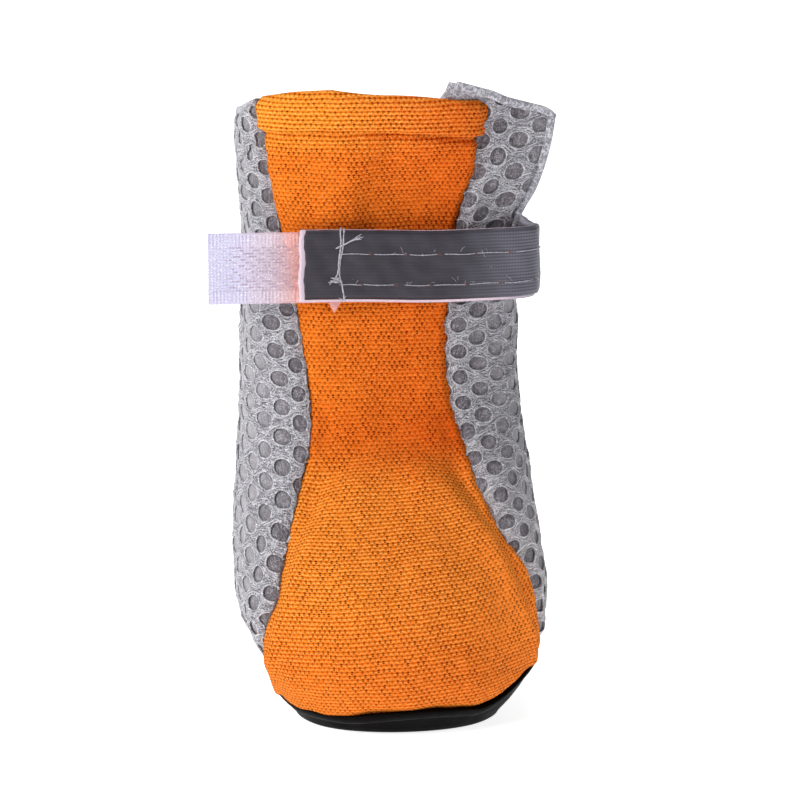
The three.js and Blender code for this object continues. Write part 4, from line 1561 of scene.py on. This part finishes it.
def make_sole():
    top = smooth(FEATHER, 1, SOLE_ANGLES)

    def wall(share, outset, drop=0.0):
        base = SOLE_PLATE + 0.8
        height = base + (top - drop - base) * share
        flat = outline(height, -outset)
        return ring_at(flat, height + (1 - share) * spring(flat[1]))

    dish = ring_at(outline(SOLE_FLOOR, WALL), SOLE_FLOOR, spring)
    inner = ring_at(outline(top, WALL), top - 0.3)
    under = ring_at(outline(SOLE_PLATE, 3.0), 0.0, plate)
    rings = drawn_in(dish, dish_floor, 0.02, 0.35, 0.7, 0.93)
    rings += [dish + (0, 0, 0.15), (dish + inner) / 2, inner]
    rings += [ring_at(outline(top, inset), top + lift)
              for inset, lift in ((1.7, -0.05), (0.5, 0.08), (0.02, 0.02))]
    rings += [wall(*row) for row in ((1.0, 0.22, 0.3), (1.0, 0.26, 0.7), (1.0, 0.12, 1.05),
                                     (1.0, 0.0, 1.25), (0.45, 0.05), (0.15, 0.02))]
    rings += [ring_at(outline(SOLE_PLATE, inset), height, toe_roll)
              for inset, height in ((0.12, 0.85), (0.4, 0.4), (0.85, 0.12), (1.4, 0.04),
                                    (2.3, 0.04), (2.6, 0.12))]
    rings += [under] + drawn_in(under, plate, 0.95, 0.7, 0.4, 0.02)
    sole = rings_piece("sole_rubber", rings)
    edge_x, edge_y = outline(SOLE_PLATE, LUG_MARGIN)
    lugs = [sole]
    row_pitch = LUG_PITCH * math.sqrt(3) / 2
    for row in range(-5, 6):
        for column in range(-4, 5):
            x = (column + (abs(row) % 2) / 2) * LUG_PITCH
            y = row * row_pitch
            if inside(x, y, edge_x, edge_y):
                lugs.append(make_lug(x, y))
    only(*lugs)
    bpy.ops.object.join()
    finish_piece(sole, RUBBER, "sole_rubber", "outsole")


def inside(x, y, edge_x, edge_y):
    """Whether a point is inside a closed outline."""
    found = False
    for i in range(len(edge_x)):
        j = (i + 1) % len(edge_x)
        if (edge_y[i] > y) != (edge_y[j] > y):
            cross = (edge_x[j] - edge_x[i]) * (y - edge_y[i]) / (edge_y[j] - edge_y[i]) + edge_x[i]
            found ^= x < cross
    return found


def make_lug(x, y):
    """A six-sided lug with softened edges and a hollow in its foot."""
    foot = float(spring(y) + arch(y))
    bpy.ops.object.select_all(action="DESELECT")
    bpy.ops.mesh.primitive_cylinder_add(
        vertices=6, radius=LUG_FLATS / math.sqrt(3) * MM, depth=LUG_DEPTH * MM,
        location=(x * MM, y * MM, (foot + LUG_DEPTH / 2) * MM))
    bpy.ops.object.transform_apply(location=True)
    lug = bpy.context.object
    pick_none(lug, "FACE")
    for face in lug.data.polygons:
        face.select = face.normal.z < -0.9
    edit(lug, "FACE")
    bpy.ops.mesh.inset(thickness=0.75 * MM)
    bpy.ops.mesh.inset(thickness=0.12 * MM, depth=-0.3 * MM)
    bpy.ops.mesh.select_all(action="SELECT")
    bpy.ops.mesh.bevel(offset=0.12 * MM, segments=2, affect="EDGES")
    done()
    return lug


def make_insole():
    edge = ring_at(outline(SOLE_FLOOR, 2.6), INSOLE_BASE, spring)
    flare = ring_at(outline(SOLE_FLOOR, 2.62), INSOLE_BASE + 1.75, spring)
    rings = drawn_in(edge, insole_foot, 0.02, 0.6)
    rings += [edge, edge + (0, 0, 0.9), flare]
    rings += drawn_in(flare, insole_top, 0.97, 0.8, 0.5, 0.02)
    insole = rings_piece("insole_felt", rings)
    finish_piece(insole, LINING, "insole_felt", "insole")


make_front()
SIDES = [Side("left"), Side("right")]
for side in SIDES:
    make_mesh_back(side)
    make_mesh_face(side)
    make_yarns(side)
make_rims()
make_flap_hem()
make_front_lining()
make_strap()
make_hook_tape()
make_nib()
make_stitching()
make_sole()
make_insole()

# ---------------------------------------------------------------- studio
FLOOR_HALF = 2.0
FLOOR_RISE = 2.5
FLOOR_SWEEP = 1.0
FLOOR_GLOW = 0.86
WORLD_LIGHT = 0.045
AIM = Vector((0, 0, 0.045))
# Name, place, size, power and colour.
LIGHTS = (
    ("key", (-0.6, -0.45, 0.45), 0.35, 4.9, (1.0, 0.985, 0.95)),
    ("fill", (0.45, -0.65, 0.2), 0.4, 0.55, (1, 1, 1)),
    ("top", (-0.15, -0.1, 0.85), 0.6, 3.9, (1, 1, 1)),
)


def pick_far_edge(floor):
    """Selects the floor's far edge where it meets the ground."""
    for line in floor.data.edges:
        ends = [floor.data.vertices[i].co for i in line.vertices]
        line.select = all(abs(end.z) < 0.001 and end.y > FLOOR_HALF - 0.01 for end in ends)


def make_studio():
    """A pale floor that sweeps up behind the boot."""
    bpy.ops.object.select_all(action="DESELECT")
    bpy.ops.mesh.primitive_plane_add(size=2 * FLOOR_HALF)
    floor = named("studio_floor")
    pick_none(floor)
    pick_far_edge(floor)
    edit(floor)
    bpy.ops.mesh.extrude_edges_move(TRANSFORM_OT_translate={"value": (0, 0, FLOOR_RISE)})
    done()
    pick_far_edge(floor)
    edit(floor)
    bpy.ops.mesh.bevel(offset=FLOOR_SWEEP, segments=16, affect="EDGES")
    done()
    bpy.ops.object.shade_smooth()
    pale = Finish("pale_floor")
    speck = pale.noise(pale.place(), 0.05, 2.0)
    colour = pale.mix(speck, (0.93, 0.93, 0.935, 1.0), (0.95, 0.95, 0.955, 1.0))
    pale.set(Base_Color=colour, Roughness=0.9, Specular_IOR_Level=0.1,
             Emission_Color=(1.0, 1.0, 1.0, 1.0), Emission_Strength=FLOOR_GLOW)
    floor.data.materials.append(pale.material)


def aim_at(obj, place, direction):
    """Puts a light or the camera in its place, facing along a direction."""
    bpy.context.scene.collection.objects.link(obj)
    obj.location = place
    obj.rotation_mode = "QUATERNION"
    obj.rotation_quaternion = direction.to_track_quat("-Z", "Y")


def add_light(name, place, size, power, colour):
    light = bpy.data.lights.new(name, "AREA")
    light.shape = "DISK"
    light.size = size
    light.energy = power
    light.color = colour
    aim_at(bpy.data.objects.new(name, light), place, AIM - Vector(place))


CAMERA_AZIMUTH = -6.5
CAMERA_ELEVATION = 11.0
CAMERA_DISTANCE = 0.480
CAMERA_TARGET = (0.00225, 0.0, 0.043)
CAMERA_LENS = 151.05


def add_camera():
    turn = math.radians(CAMERA_AZIMUTH)
    rise = math.radians(CAMERA_ELEVATION)
    flat = math.cos(rise)
    back = Vector((math.sin(turn) * flat, -math.cos(turn) * flat, math.sin(rise)))
    camera = bpy.data.objects.new("camera", bpy.data.cameras.new("camera"))
    aim_at(camera, Vector(CAMERA_TARGET) + back * CAMERA_DISTANCE, -back)
    camera.data.lens = CAMERA_LENS
    camera.data.sensor_width = 36
    bpy.context.scene.camera = camera


make_studio()
for row in LIGHTS:
    add_light(*row)
world = bpy.data.worlds.new("studio")
bpy.context.scene.world = world
world.use_nodes = True
background = world.node_tree.nodes["Background"]
background.inputs["Color"].default_value = (1, 1, 1, 1)
background.inputs["Strength"].default_value = WORLD_LIGHT
add_camera()
bpy.context.scene.view_settings.view_transform = "Standard"
